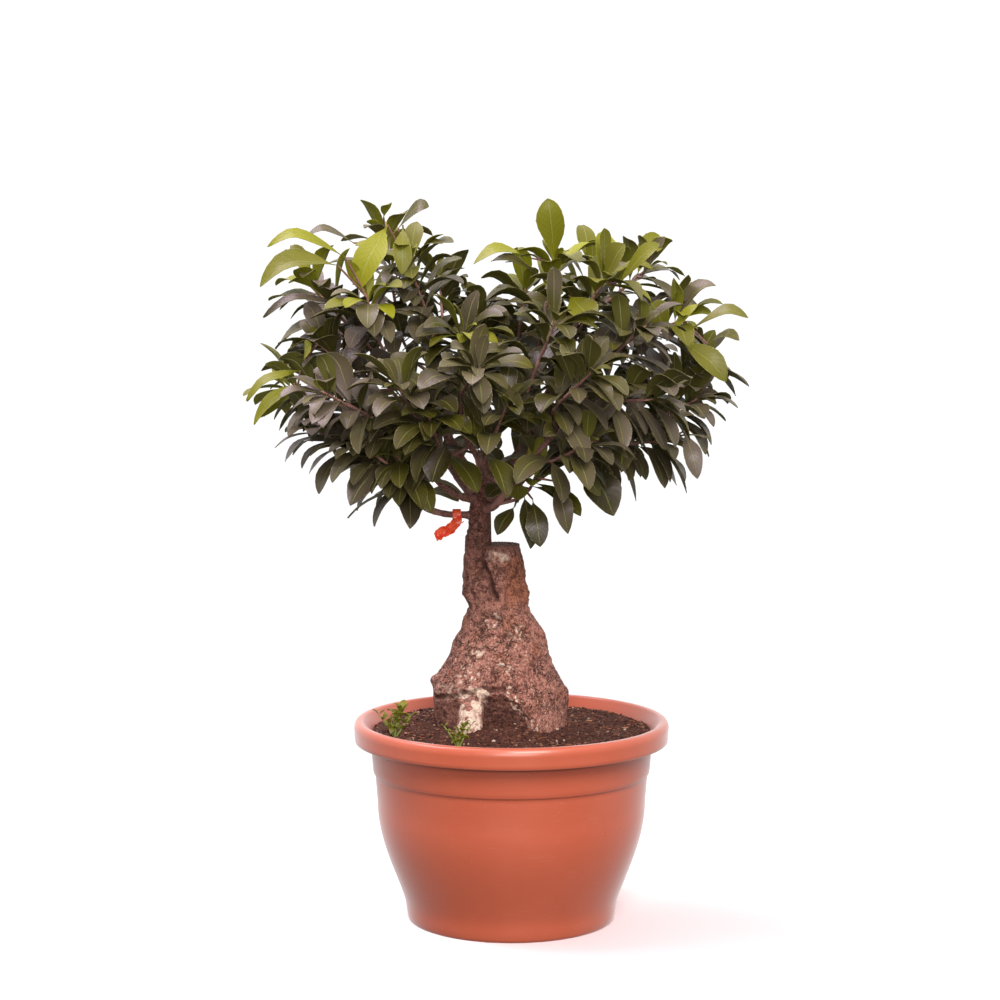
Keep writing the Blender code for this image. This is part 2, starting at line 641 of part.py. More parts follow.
class Shoot:
    """A twig, with a face ready for each of its leaves."""

    def __init__(self, name, seat, normal, tip, leaves, leaf_length=LEAF_LENGTH, radius=TWIG_RADIUS):
        self.name, self.leaf_length, self.radius = name, leaf_length, radius
        self.draw = random.Random(name)
        reach = (tip - seat).length
        bend = seat + normal * reach * 0.42
        fine, fine_ways = through([seat, seat.lerp(bend, 0.5).lerp(bend.lerp(tip, 0.5), 0.5), tip], 60)
        node = 1.25 * radius / reach
        bare = 0.26
        stations, self.nodes = [0.0, bare * 0.5], []
        for k in range(leaves):
            share = bare + (0.985 - bare) * (k / (leaves - 1)) ** 0.80
            self.nodes.append(len(stations))
            stations += [share - node / 2, share + node / 2]
        stations.append(1.0 + 1.5 * node)
        places, ways, radii = [], [], []
        for station in stations:
            spot = min(station, 1.0) * 59
            k = min(int(spot), 58)
            place = fine[k].lerp(fine[k + 1], spot - k)
            places.append(place + fine_ways[-1] * max(station - 1, 0) * reach)
            ways.append(fine_ways[k].lerp(fine_ways[k + 1], spot - k).normalized())
            radii.append(radius * (1 - 0.38 * min(station, 1)))
        ways[0] = normal
        self.ways = ways
        self.bm = bmesh.new()
        rings, self.axes = tube_rings(places, ways, radii, 4)
        bud, self.spans = loft(self.bm, rings)
        point = places[-1] + ways[-1] * radius * 1.6
        top = extrude_to(self.bm, bud, [point] * 4)
        bmesh.ops.pointmerge(self.bm, verts=list(top.verts), merge_co=point)
        self.surface = surface_of(self.bm)
        self.bm.normal_update()
        self.first_turn = self.draw.uniform(0, math.tau)

    def leaf(self, k, turn, roll, size):
        """The k-th leaf, with a turn about the twig, a roll and a size tried for it."""
        node = self.nodes[k]
        way = self.ways[node]
        across, over = self.axes[node]
        angle = self.first_turn + k * GOLDEN_ANGLE + turn
        out = across * math.cos(angle) + over * math.sin(angle)
        youth = k / (len(self.nodes) - 1)
        opening = math.radians(80 - 48 * youth**1.4)
        heading = (way * math.cos(opening) + out * math.sin(opening) + UP * 0.12).normalized()
        face_up = (way - heading * way.dot(heading)) * 0.55 + UP * 0.75
        face_up = Matrix.Rotation(roll, 3, heading) @ face_up
        length = self.leaf_length * size * (1.0 - 0.40 * abs(youth - 0.45))
        face = max(self.spans[node], key=lambda f: f.normal.dot(heading))
        thickness = min(LEAF_THICKNESS, length * 0.05)
        arch = 0.86 - 0.50 * youth
        return Leaf(face, face.calc_center_median(), heading, face_up, length, arch, thickness)


def tries(draw):
    """Turns, rolls and sizes to try for a leaf, the likeliest first."""
    own_turn, own_roll = draw.uniform(-0.25, 0.25), draw.uniform(-0.45, 0.45)
    own_size = draw.uniform(0.86, 1.12)
    for size in (1.0, 0.85, 0.70):
        for turn in (0.0, 0.35, -0.35, 0.7, -0.7, 1.1, -1.1, 1.5, -1.5):
            for roll in (0.0, 0.4, -0.4, 0.8, -0.8):
                yield own_turn + turn, own_roll + roll, own_size * size


class Taken:
    """The space that leaves, twigs and wood already fill."""

    def __init__(self, wood):
        self.wood = list(wood)
        self.leaves = []

    def blocks(self, leaf, own_twig):
        shell = leaf.shell(0.0005)
        for other, other_shell in self.leaves:
            reach = (leaf.length + other.length) * 0.75
            if (other.line[1] - leaf.line[1]).length < reach and shell.overlap(other_shell):
                return True
        if leaf.shell(0.0003, skip=0.07).overlap(own_twig):
            return True
        return any(surface is not own_twig and shell.overlap(surface) for surface in self.wood)

    def add(self, leaf):
        self.leaves.append((leaf, leaf.shell(0.0)))


def clear_shoot(name, limb, share, tip, leaves, taken):
    """The shoot, its tip moved a little if its twig would run through another piece."""
    draw = random.Random(name)
    aim = tip
    for k in range(60):
        seat, normal = limb.seat(share, aim)
        shoot = Shoot(name, seat, normal, aim, leaves)
        if not any(shoot.surface.overlap(surface) for surface in taken.wood):
            return shoot
        slack = 0.0012 * (k + 1)
        aim = tip + Vector([draw.uniform(-slack, slack) for _ in range(3)])
        if share < 1:
            share = max(0.1, share + draw.uniform(-0.02, 0.02))
    return shoot


def dress(shoot, taken):
    """Puts the leaves on a shoot, youngest first, each where it is clear of the rest."""
    leaves = []
    for k in reversed(range(len(shoot.nodes))):
        for turn, roll, size in tries(shoot.draw):
            leaf = shoot.leaf(k, turn, roll, size)
            if not taken.blocks(leaf, shoot.surface):
                taken.add(leaf)
                leaves.append(leaf)
                break
    for leaf in leaves:
        leaf.grow(shoot.bm)


def make_shoots(green, limbs, wood):
    taken = Taken([*wood, *(limb.surface for limb in limbs.values())])
    shoots = []
    for name, branch, share, tip, leaves in SHOOTS:
        shoot = clear_shoot(name, limbs[branch], share, tree_point(tip), leaves, taken)
        taken.wood.append(shoot.surface)
        shoots.append(shoot)
    for shoot in shoots:
        dress(shoot, taken)
        add_object(shoot.name, shoot.bm, green)


# --- Tape and seedlings -----------------------------------------------------------------


def make_tape(ribbon, limb):
    """A strip wound once round the lowest branch, with a tail that hangs from it."""
    middle, axis = limb.at(0.17)
    start = square_to(axis, UP)
    over = axis.cross(start)
    inner = limb.radii[0] + 2 * PIECE_GAP + TAPE_THICKNESS
    stations = []
    steps = 20
    for k in range(steps + 1):
        angle = -math.tau * 1.25 * k / steps
        radius = inner + 2.4 * TAPE_THICKNESS * k / steps
        out = start * math.cos(angle) + over * math.sin(angle)
        stations.append((middle + out * radius, out, axis))
    tail = [stations[-1][0], *(tree_point(point) for point in TAPE_TAIL)]
    for a, b, c in zip(tail, tail[1:], [*tail[2:], tail[-1] + (tail[-1] - tail[-2])]):
        way = (c - a).normalized()
        out = square_to(way, stations[-1][1])
        stations.append((b, out, way.cross(out)))
    bm = bmesh.new()
    half, thick = TAPE_WIDTH / 2, TAPE_THICKNESS / 2
    loft(bm, [[p + out * thick + side * half, p - out * thick + side * half,
               p - out * thick - side * half, p + out * thick - side * half] for p, out, side in stations])
    surface = surface_of(bm)
    add_object("tie_tape", bm, ribbon)
    return surface


def make_seedlings(green, soil):
    ground = mesh_surface(soil)
    taken = Taken([])
    for name, x, y, height, leaf_length in SEEDLINGS:
        above = Vector((x * RIM_RADIUS, y * RIM_RADIUS, POT_HEIGHT + 0.05))
        place = ground.ray_cast(above, -UP)[0]
        seat = place + UP * PIECE_GAP * 2
        sprig = Shoot(name, seat, UP, seat + Vector((0.25, -0.1, 1)) * height, 5, leaf_length, 0.0007)
        dress(sprig, taken)
        add_object(name, sprig.bm, green)


def main():
    clear_scene()
    plastic = material("terracotta_plastic", (0.56, 0.15, 0.085), 0.35)
    bark = material("bark", (0.20, 0.11, 0.085), 0.85)
    earth = material("potting_soil", (0.055, 0.028, 0.020), 0.95)
    green = material("leaf_green", (0.055, 0.095, 0.020), 0.40)
    ribbon = material("orange_tape", (0.80, 0.07, 0.01), 0.45)
    make_pot(plastic)
    trunk = make_trunk(bark)
    soil = make_soil(earth)
    trunk_surface = mesh_surface(trunk)
    limbs = make_branches(bark, trunk_surface)
    tape_surface = make_tape(ribbon, limbs["branch_left_low"])
    make_shoots(green, limbs, [trunk_surface, tape_surface])
    make_seedlings(green, soil)


main()
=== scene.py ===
import math
import random

import bmesh
import bpy
from mathutils import Matrix, Vector, noise
from mathutils.bvhtree import BVHTree


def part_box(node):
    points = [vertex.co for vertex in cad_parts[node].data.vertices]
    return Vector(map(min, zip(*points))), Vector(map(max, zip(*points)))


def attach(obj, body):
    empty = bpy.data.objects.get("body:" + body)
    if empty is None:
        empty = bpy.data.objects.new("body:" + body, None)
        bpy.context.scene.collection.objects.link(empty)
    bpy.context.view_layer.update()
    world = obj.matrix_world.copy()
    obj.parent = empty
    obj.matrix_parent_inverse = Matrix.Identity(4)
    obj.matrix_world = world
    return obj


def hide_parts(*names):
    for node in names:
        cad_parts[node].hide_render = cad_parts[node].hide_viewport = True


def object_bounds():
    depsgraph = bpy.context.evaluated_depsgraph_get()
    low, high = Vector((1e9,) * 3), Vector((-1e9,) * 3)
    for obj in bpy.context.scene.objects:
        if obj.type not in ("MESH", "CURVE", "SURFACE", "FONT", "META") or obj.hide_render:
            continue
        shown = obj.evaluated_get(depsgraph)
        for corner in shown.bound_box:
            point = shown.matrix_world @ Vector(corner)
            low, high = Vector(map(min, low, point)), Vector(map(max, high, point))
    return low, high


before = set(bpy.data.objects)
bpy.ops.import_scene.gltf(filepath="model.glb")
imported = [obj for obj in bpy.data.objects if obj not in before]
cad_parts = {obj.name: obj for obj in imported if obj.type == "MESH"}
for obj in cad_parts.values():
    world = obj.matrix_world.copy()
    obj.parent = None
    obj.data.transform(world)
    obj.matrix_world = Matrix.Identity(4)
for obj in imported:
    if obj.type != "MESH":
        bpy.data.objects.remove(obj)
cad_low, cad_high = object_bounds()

# --- The pot ----------------------------------------------------------------------------
# A round nursery bowl, injection moulded in one shot from terracotta coloured
# polypropylene.  The wall swells to a belly, steps out to a straight collar and turns over
# into a wide rim band; the floor stands on a foot ring and has six drain holes.

pot_low, pot_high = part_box("pot")
rim_radius, pot_height = pot_high.x, pot_high.z
wall_thickness = 0.0020
foot_radius, foot_height = 0.0728, 0.0120
belly_radius, belly_height = rim_radius - 0.0161, 0.0830
band_bottom = pot_height - 0.0145
step_height = band_bottom - 0.0220
floor_raise, floor_thickness = 0.0030, 0.0025
plastic_base = (0.500, 0.100, 0.049, 1)
plastic_worn = (0.56, 0.130, 0.070, 1)


class Value:
    """A shader socket that takes part in arithmetic.  Each operator adds its Math node."""

    def __init__(self, finish, socket):
        self.finish, self.socket = finish, socket

    def __add__(self, other):
        return self.finish.maths("ADD", self, other)

    def __sub__(self, other):
        return self.finish.maths("SUBTRACT", self, other)

    def __rsub__(self, other):
        return self.finish.maths("SUBTRACT", other, self)

    def __mul__(self, other):
        return self.finish.maths("MULTIPLY", self, other)

    def __abs__(self):
        return self.finish.maths("ABSOLUTE", self)

    def __pow__(self, other):
        return self.finish.maths("POWER", self, other)

    __radd__, __rmul__ = __add__, __mul__


class Finish:
    """A material while it is being made.  Constants are set on the surface's own sockets."""

    def __init__(self, name, **constants):
        self.material = bpy.data.materials.new(name)
        self.material.use_nodes = True
        self.tree = self.material.node_tree
        self.surface = self.tree.nodes["Principled BSDF"]
        for socket, value in constants.items():
            self.surface.inputs[socket.replace("_", " ")].default_value = value

    def node(self, kind, settings=(), inputs=(), output=0):
        """Any node: its type, its settings, and the values or links of its sockets."""
        made = self.tree.nodes.new(kind)
        for setting, value in dict(settings).items():
            if setting == "stops":
                elements = made.color_ramp.elements
                elements.remove(elements[1])
                elements[0].position, elements[0].color = value[0]
                for spot, colour in value[1:]:
                    elements.new(spot).color = colour
            else:
                setattr(made, setting, value)
        for socket, value in dict(inputs).items():
            if isinstance(value, Value):
                self.tree.links.new(value.socket, made.inputs[socket])
            else:
                made.inputs[socket].default_value = value
        return Value(self, made.outputs[output])

    def maths(self, operation, *values):
        return self.node("ShaderNodeMath", {"operation": operation}, dict(enumerate(values)))

    def place(self):
        return self.node("ShaderNodeTexCoord", output="Object")

    def cloud(self, scale, detail=3.0, rough=0.55, where=None):
        """Soft noise from 0 to 1, with so many features to the metre."""
        return self.node("ShaderNodeTexNoise", {}, {
            "Vector": where or self.place(), "Scale": scale, "Detail": detail, "Roughness": rough})

    def cells(self, scale, output="Distance", where=None):
        return self.node("ShaderNodeTexVoronoi", {}, {
            "Vector": where or self.place(), "Scale": scale}, output)

    def stretch(self, scale, turn=(0, 0, 0)):
        return self.node("ShaderNodeMapping", {}, {
            "Vector": self.place(), "Scale": scale, "Rotation": turn})

    def rise(self, value, low, high):
        """0 below low, 1 above high, and smooth between them."""
        return self.node("ShaderNodeMapRange", {"interpolation_type": "SMOOTHSTEP"}, {
            "Value": value, "From Min": low, "From Max": high})

    def mark(self, name):
        """A value that the mesh holds at each point."""
        return self.node("ShaderNodeAttribute", {"attribute_name": name}, output="Fac")

    def mix(self, share, first, second):
        return self.node("ShaderNodeMix", {"data_type": "RGBA"},
                         {"Factor": share, 6: first, 7: second}, 2)

    def bump(self, height, distance, strength=1.0, under=None):
        inputs = {"Height": height, "Distance": distance, "Strength": strength}
        if under:
            inputs["Normal"] = under
        return self.node("ShaderNodeBump", {}, inputs)

    def feed(self, **links):
        for socket, value in links.items():
            self.tree.links.new(value.socket, self.surface.inputs[socket.replace("_", " ")])
        return self.material


def finished(name, bm, *materials, sharp=40):
    """The piece that bm holds, shaded smooth but for edges sharper than so many degrees."""
    mesh = bpy.data.meshes.new(name)
    bm.to_mesh(mesh)
    bm.free()
    for surface in materials:
        mesh.materials.append(surface)
    mesh.shade_smooth()
    mesh.set_sharp_from_angle(angle=math.radians(sharp))
    piece = bpy.data.objects.new(name, mesh)
    bpy.context.scene.collection.objects.link(piece)
    return piece


def wall_radius(z):
    """The outer radius of the wall, from the foot up to the rim band's underside."""
    foot_top = foot_radius + 0.0017
    if z <= foot_height:
        return foot_radius + (foot_top - foot_radius) * z / foot_height
    if z <= belly_height:
        share = (z - foot_height) / (belly_height - foot_height)
        return foot_top + (belly_radius - foot_top) * math.sin(share * math.pi / 2) ** 1.2
    if z <= step_height:
        return belly_radius + 0.0015 * (z - belly_height) / (step_height - belly_height)
    return belly_radius + 0.0028 + 0.0018 * (z - step_height) / (band_bottom - step_height)


def pot_outline():
    """Half of the pot's section, from the middle of its underside round to its floor."""
    ring = foot_radius - 0.0060
    points = [(0, 0.0003), (0.0132, 0), (0.0139, 0.0004), (0.0148, floor_raise)]
    for radius in (0.030, 0.052):  # two low stiffening ribs under the floor
        points += [(radius - 0.0010, floor_raise), (radius - 0.0005, floor_raise - 0.0008),
                   (radius + 0.0005, floor_raise - 0.0008), (radius + 0.0010, floor_raise)]
    points += [(ring - 0.0010, floor_raise), (ring - 0.0002, 0.0005), (ring + 0.0004, 0),
               (foot_radius - 0.0018, 0), (foot_radius - 0.0008, 0.0002),
               (foot_radius - 0.0002, 0.0010), (wall_radius(0.0022), 0.0022)]
    points += [(wall_radius(z), z) for z in [foot_height * k / 4 for k in range(2, 5)]]
    points += [(wall_radius(z), z) for z in
               [foot_height + (step_height - foot_height) * k / 26 for k in range(1, 26)]]
    points += [(wall_radius(step_height) - 0.0002, step_height - 0.0004),
               (wall_radius(step_height) + 0.0001, step_height - 0.0001),
               (wall_radius(step_height + 1e-6) - 0.0003, step_height + 0.0001),
               (wall_radius(step_height + 1e-6), step_height + 0.0005)]
    points += [(wall_radius(z), z) for z in
               [step_height + (band_bottom - step_height) * k / 6 for k in range(1, 7)]]
    shelf, face = pot_height - 0.0045, rim_radius - 0.0006
    points += [(wall_radius(band_bottom) + 0.0006, shelf - 0.0062),
               (rim_radius - 0.0056, shelf), (face - 0.0020, shelf), (face - 0.0020, band_bottom + 0.0004),
               (face - 0.0016, band_bottom), (face - 0.0004, band_bottom),
               (face + 0.0001, band_bottom + 0.0005), (face + 0.0002, band_bottom + 0.0030),
               (rim_radius - 0.0001, pot_height - 0.0060), (rim_radius, pot_height - 0.0050),
               (rim_radius - 0.0002, pot_height - 0.0034), (rim_radius - 0.0007, pot_height - 0.0020),
               (rim_radius - 0.0014, pot_height - 0.0009), (rim_radius - 0.0024, pot_height - 0.0002),
               (rim_radius - 0.0034, pot_height), (rim_radius - 0.0050, pot_height),
               (rim_radius - 0.0061, pot_height - 0.0004), (rim_radius - 0.0067, pot_height - 0.0014),
               (wall_radius(band_bottom) - 0.0011, pot_height - 0.0100)]
    inner = [band_bottom - (band_bottom - foot_height) * k / 24 for k in range(25)]
    points += [(wall_radius(z) - wall_thickness, z) for z in inner]
    floor = floor_raise + floor_thickness
    return points + [(wall_radius(floor) - wall_thickness - 0.0004, floor + 0.0006),
                     (wall_radius(floor) - wall_thickness - 0.0012, floor), (0, floor)]


def spun(outline, steps):
    """A closed shell turned from half a section about the upright axis."""
    bm = bmesh.new()
    verts = [bm.verts.new((radius, 0, z)) for radius, z in outline]
    edges = [bm.edges.new(pair) for pair in zip(verts, verts[1:])]
    bmesh.ops.spin(bm, geom=[*verts, *edges], cent=(0, 0, 0), axis=(0, 0, 1),
                   angle=math.tau, steps=steps, use_merge=True)
    bmesh.ops.remove_doubles(bm, verts=bm.verts, dist=1e-6)
    bmesh.ops.recalc_face_normals(bm, faces=bm.faces)
    return bm


def settled(obj):
    """The mesh that obj's modifiers make, as a bmesh.  obj is then removed."""
    graph = bpy.context.evaluated_depsgraph_get()
    bm = bmesh.new()
    bm.from_mesh(obj.evaluated_get(graph).to_mesh())
    old = obj.data
    bpy.data.objects.remove(obj)
    bpy.data.meshes.remove(old)
    return bm


def drilled(bm):
    """The pot with its drain holes, cut by one helper that holds all six drills."""
    drills = bmesh.new()
    pitch = (0.0140 + foot_radius - 0.0060) / 2
    for k in range(6):
        angle = math.tau * (k + 0.5) / 6
        shift = Matrix.Translation((pitch * math.cos(angle), pitch * math.sin(angle), floor_raise))
        bmesh.ops.create_cone(drills, cap_ends=True, segments=32, radius1=0.0045, radius2=0.0045,
                              depth=0.02, matrix=shift)
    blank, cutter = finished("pot_blank", bm), finished("drills", drills)
    cut = blank.modifiers.new("drain_holes", "BOOLEAN")
    cut.operation, cut.object, cut.solver = "DIFFERENCE", cutter, "EXACT"
    made = settled(blank)
    bpy.data.objects.remove(cutter)
    return made


def moulded_plastic():
    """Satin polypropylene: clouded pigment, specks, scuffs, and a painted shadow band under the rim."""
    plastic = Finish("terracotta_plastic", IOR=1.49, Coat_Roughness=0.16, Specular_IOR_Level=0.5,
                     Sheen_Weight=0.35, Sheen_Roughness=0.30, Sheen_Tint=(1.0, 0.86, 0.88, 1))
    cloud = plastic.cloud(22, 4)
    around = plastic.stretch((60, 60, 1100))
    scuffs = plastic.rise(plastic.cloud(1.0, 4, 0.7, around), 0.60, 0.78)
    specks = 1 - plastic.rise(plastic.cells(420), 0.05, 0.12)
    specks = specks * plastic.rise(plastic.cloud(55, 2), 0.56, 0.66)
    colour = plastic.mix(plastic.rise(cloud, 0.35, 0.75) * 0.35, plastic_base, plastic_worn)
    colour = plastic.mix(scuffs * 0.16, colour, (0.80, 0.42, 0.32, 1))
    colour = plastic.mix(specks * 0.55, colour, (0.80, 0.50, 0.40, 1))
    height = plastic.maths("MULTIPLY", plastic.node(
        "ShaderNodeSeparateXYZ", {}, {"Vector": plastic.place()}, "Z"), 1000.0)
    # painted shadow: a dark band on the collar just under the rim band, where the rim's shade falls
    painted_rim_shadow = 1 - plastic.rise(abs(height - (band_bottom - 0.0016) * 1000), 0.5, 2.4)
    colour = plastic.mix(painted_rim_shadow * 0.65, colour, (0.10, 0.022, 0.014, 1))
    peel = plastic.bump(plastic.cloud(900, 2), 0.00003, 0.35)
    grain = plastic.bump(scuffs * 1.0, 0.00003, 0.5, peel)
    return plastic.feed(Base_Color=colour, Roughness=0.30 + 0.12 * cloud + 0.20 * scuffs,
                        Coat_Weight=0.42 - 0.30 * scuffs, Normal=grain)


pot = finished("bowl", drilled(spun(pot_outline(), 176)), moulded_plastic(), sharp=50)
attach(pot, "root")
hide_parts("pot")

# --- The potting soil -------------------------------------------------------------------
# A peat mix that fills the bowl to just under its rim: dark brown fibre with crumbs,
# shreds of bark and a little white perlite.  It is pressed in round the roots by hand.

soil_level = pot_height - 0.0065
soil_radius = rim_radius - 0.0125
soil_depth = 0.0140
crumb_count = 5200


def merged(node):
    """A copy of a CAD node's mesh with its loose triangles joined."""
    bm = bmesh.new()
    bm.from_mesh(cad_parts[node].data)
    bmesh.ops.remove_doubles(bm, verts=bm.verts, dist=2e-6)
    return bm


def surface_of(node):
    bm = merged(node)
    surface = BVHTree.FromBMesh(bm)
    bm.free()
    return surface


soil_surface, trunk_surface = surface_of("soil"), surface_of("trunk")


def ground(x, y):
    """The soil's height at x, y, with the small heaps and hollows that watering leaves."""
    hit = soil_surface.ray_cast(Vector((x, y, pot_height + 0.05)), Vector((0, 0, -1)))[0]
    z = hit.z if hit and hit.z > soil_level - 0.004 else soil_level + 0.0028
    spot = Vector((x, y, 0))
    z += 0.0011 * noise.noise(spot * 130) + 0.0009 * noise.noise(spot * 310)
    edge = max(0.0, (math.hypot(x, y) - soil_radius + 0.006) / 0.006)
    return z - 0.0012 * edge


def soil_bed():
    bm = bmesh.new()
    bmesh.ops.create_grid(bm, x_segments=130, y_segments=130, size=soil_radius)
    outside = [v for v in bm.verts if v.co.length > soil_radius - 0.0004]
    bmesh.ops.delete(bm, geom=outside, context="VERTS")
    rim = [e for e in bm.edges if e.is_boundary]
    for vert in {v for e in rim for v in e.verts}:
        vert.co = vert.co.normalized() * soil_radius
    bmesh.ops.smooth_vert(bm, verts=bm.verts, factor=0.3, use_axis_x=True, use_axis_y=True)
    for vert in bm.verts:
        vert.co.z = ground(vert.co.x, vert.co.y)
        vert.co.z += 0.0007 * abs(noise.noise(vert.co * 640)) * 2
    side = bmesh.ops.extrude_edge_only(bm, edges=rim)["geom"]
    low = [g for g in side if isinstance(g, bmesh.types.BMVert)]
    bmesh.ops.scale(bm, verts=low, vec=(0.985, 0.985, 1))
    for vert in low:
        vert.co.z = soil_level - soil_depth
    bmesh.ops.holes_fill(bm, edges=[e for e in bm.edges if e.is_boundary], sides=0)
    bmesh.ops.recalc_face_normals(bm, faces=bm.faces)
    return bm


def peat():
    """Loose brown fibre: dark between the grains, with rusty and pale shreds on top."""
    soil = Finish("potting_soil", Specular_IOR_Level=0.25)
    grains, fibre = soil.cells(620, "Color"), soil.cloud(900, 4, 0.7)
    tone = soil.node("ShaderNodeSeparateColor", {}, {"Color": grains})
    colour = soil.node("ShaderNodeValToRGB", {"stops": (
        (0.0, (0.022, 0.0066, 0.0045, 1)), (0.45, (0.062, 0.020, 0.013, 1)),
        (0.80, (0.115, 0.041, 0.027, 1)), (1.0, (0.23, 0.11, 0.072, 1)))},
        {"Fac": tone * 0.55 + fibre * 0.5 - 0.06})
    shreds = soil.cloud(1.0, 2, 0.6, soil.stretch((240, 900, 500), (0, 0, 0.6)))
    colour = soil.mix(soil.rise(shreds, 0.64, 0.72) * 0.5, colour, (0.27, 0.100, 0.052, 1))
    relief = soil.bump(soil.cells(620), 0.0006, 0.9)
    relief = soil.bump(fibre, 0.0004, 0.8, relief)
    return soil.feed(Base_Color=colour, Roughness=0.97 - 0.12 * fibre, Normal=relief)


soil = finished("soil_bed", soil_bed(), peat(), sharp=180)
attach(soil, "root")
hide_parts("soil")


def in_wood(place, room=0.0):
    """True where place lies inside the trunk, or within room of it."""
    near, normal, _, reach = trunk_surface.find_nearest(place)
    return (place - near).dot(normal) < 0 or reach < room


def blank_of(bm):
    """A small mesh to be set many times, and how many points it has."""
    mesh = bpy.data.meshes.new("blank")
    bm.to_mesh(mesh)
    bm.free()
    return mesh, [v.co.copy() for v in mesh.vertices]


def soil_crumbs():
    """Loose grains on the bed: most are peat, some bark shreds, and a few perlite."""
    ball = bmesh.new()
    bmesh.ops.create_icosphere(ball, subdivisions=1, radius=1)
    blank, corners = blank_of(ball)
    draw = random.Random(11)
    bm, settings = bmesh.new(), []
    while len(settings) < crumb_count:
        way, reach = draw.uniform(0, math.tau), soil_radius * math.sqrt(draw.random()) * 0.985
        x, y = reach * math.cos(way), reach * math.sin(way)
        kind = draw.random()
        size = 0.0006 + 0.0012 * draw.random() ** 3
        shape = Vector((1, draw.uniform(0.55, 0.95), draw.uniform(0.45, 0.85)))
        if kind > 0.90:  # a shred of bark
            shape, size = Vector((1.6, 0.50, 0.28)), size * 1.25
        elif kind > 0.865:  # perlite
            size *= 0.85
        spot = Vector((x, y, ground(x, y) + size * 0.25))
        if in_wood(spot) and not in_wood(spot, 0.0):
            continue
        if in_wood(spot):
            continue
        turn = Matrix.Rotation(draw.uniform(0, math.tau), 3, "Z")
        turn = turn @ Matrix.Rotation(draw.uniform(-0.7, 0.7), 3, "X")
        settings.append((spot, turn, shape * size, kind))
        bm.from_mesh(blank)
    tone = bm.verts.layers.float.new("tone")
    verts = iter(list(bm.verts))
    for spot, turn, shape, kind in settings:
        for corner in corners:
            vert = next(verts)
            rough = Vector(draw.uniform(0.72, 1.18) for _ in range(3))
            vert.co = spot + turn @ (corner * rough * shape)
            vert[tone] = kind
    return bm


def crumb_finish():
    crumb = Finish("soil_crumb", Specular_IOR_Level=0.25)
    kind = crumb.mark("tone")
    colour = crumb.node("ShaderNodeValToRGB", {"stops": (
        (0.0, (0.022, 0.007, 0.005, 1)), (0.30, (0.054, 0.018, 0.012, 1)),
        (0.62, (0.110, 0.039, 0.026, 1)), (0.80, (0.20, 0.082, 0.050, 1)),
        (0.845, (0.29, 0.135, 0.082, 1)), (0.850, (0.62, 0.46, 0.36, 1)),
        (0.892, (0.40, 0.24, 0.165, 1)), (0.900, (0.34, 0.110, 0.050, 1)),
        (0.96, (0.17, 0.060, 0.032, 1)), (1.0, (0.50, 0.26, 0.150, 1)))}, {"Fac": kind})
    mottle = crumb.cloud(1500, 3, 0.65)
    colour = crumb.mix(crumb.rise(mottle, 0.42, 0.68) * 0.45, colour, (0.050, 0.018, 0.013, 1))
    return crumb.feed(Base_Color=colour, Roughness=0.95 - 0.10 * mottle,
                      Normal=crumb.bump(mottle, 0.0004, 0.8))


crumbs = finished("soil_crumbs", soil_crumbs(), crumb_finish(), sharp=35)
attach(crumbs, "root")

# --- The trunk --------------------------------------------------------------------------
# The swollen root stock of a grafted ficus: a sawn stump on spreading roots, with an arch
# under its front and one bare pale root.  The thin grafted stem grew up against the stump
# and has fused with it, but for a deep wedge of old bark between the two.

trunk_voxel = 0.00075
stump_top = soil_level + 0.1296
wedge = ((-0.0206, 0.117), (-0.0106, 0.095))  # across and over the soil, down the front
crack = ((-0.0022, 0.101), (-0.0040, 0.090), (-0.0062, 0.079))
overhang = ((-0.0560, 0.0235), (-0.0440, 0.0262), (-0.0300, 0.0300), (-0.0180, 0.0330), (-0.0060, 0.0335))
knobs = (  # middle, over the soil; how far it stands out; its spread
    ((-0.0570, -0.004, 0.0350), 0.0042, 0.0042), ((0.0385, -0.005, 0.0270), 0.0034, 0.0052),
    ((0.0225, -0.008, 0.0680), 0.0022, 0.0055), ((-0.0500, -0.016, 0.0290), 0.0022, 0.0090),
    ((-0.0330, -0.028, 0.0310), 0.0024, 0.0085), ((0.0040, -0.036, 0.0590), 0.0012, 0.0060),
    ((0.0300, 0.022, 0.0400), 0.0030, 0.0090), ((-0.0300, 0.030, 0.0480), 0.0030, 0.0100),
    ((0.0000, 0.034, 0.0260), 0.0026, 0.0080), ((-0.0300, -0.004, 0.0960), 0.0018, 0.0060),
    ((0.0100, -0.004, 0.0960), 0.0012, 0.0050), ((0.0120, 0.012, 0.0820), 0.0018, 0.0060),
)
scars = (  # the same, pressed in
    ((-0.0286, -0.025, 0.0580), 0.0026, 0.0030), ((-0.0040, -0.025, 0.0700), 0.0020, 0.0028),
    ((0.0040, -0.026, 0.0690), 0.0022, 0.0030), ((0.0110, -0.033, 0.0400), 0.0016, 0.0026),
    ((-0.0290, -0.008, 0.0790), 0.0030, 0.0034), ((-0.0400, -0.030, 0.0190), 0.0030, 0.0050),
    ((0.0180, 0.024, 0.0640), 0.0024, 0.0040), ((-0.0200, 0.026, 0.0720), 0.0022, 0.0036),
)


def upright(x, y, height):
    """A point of the tree, its height given over the soil."""
    return Vector((x, y, soil_level + height))


def smooth_step(value, low, high):
    share = min(1.0, max(0.0, (value - low) / (high - low)))
    return share * share * (3 - 2 * share)


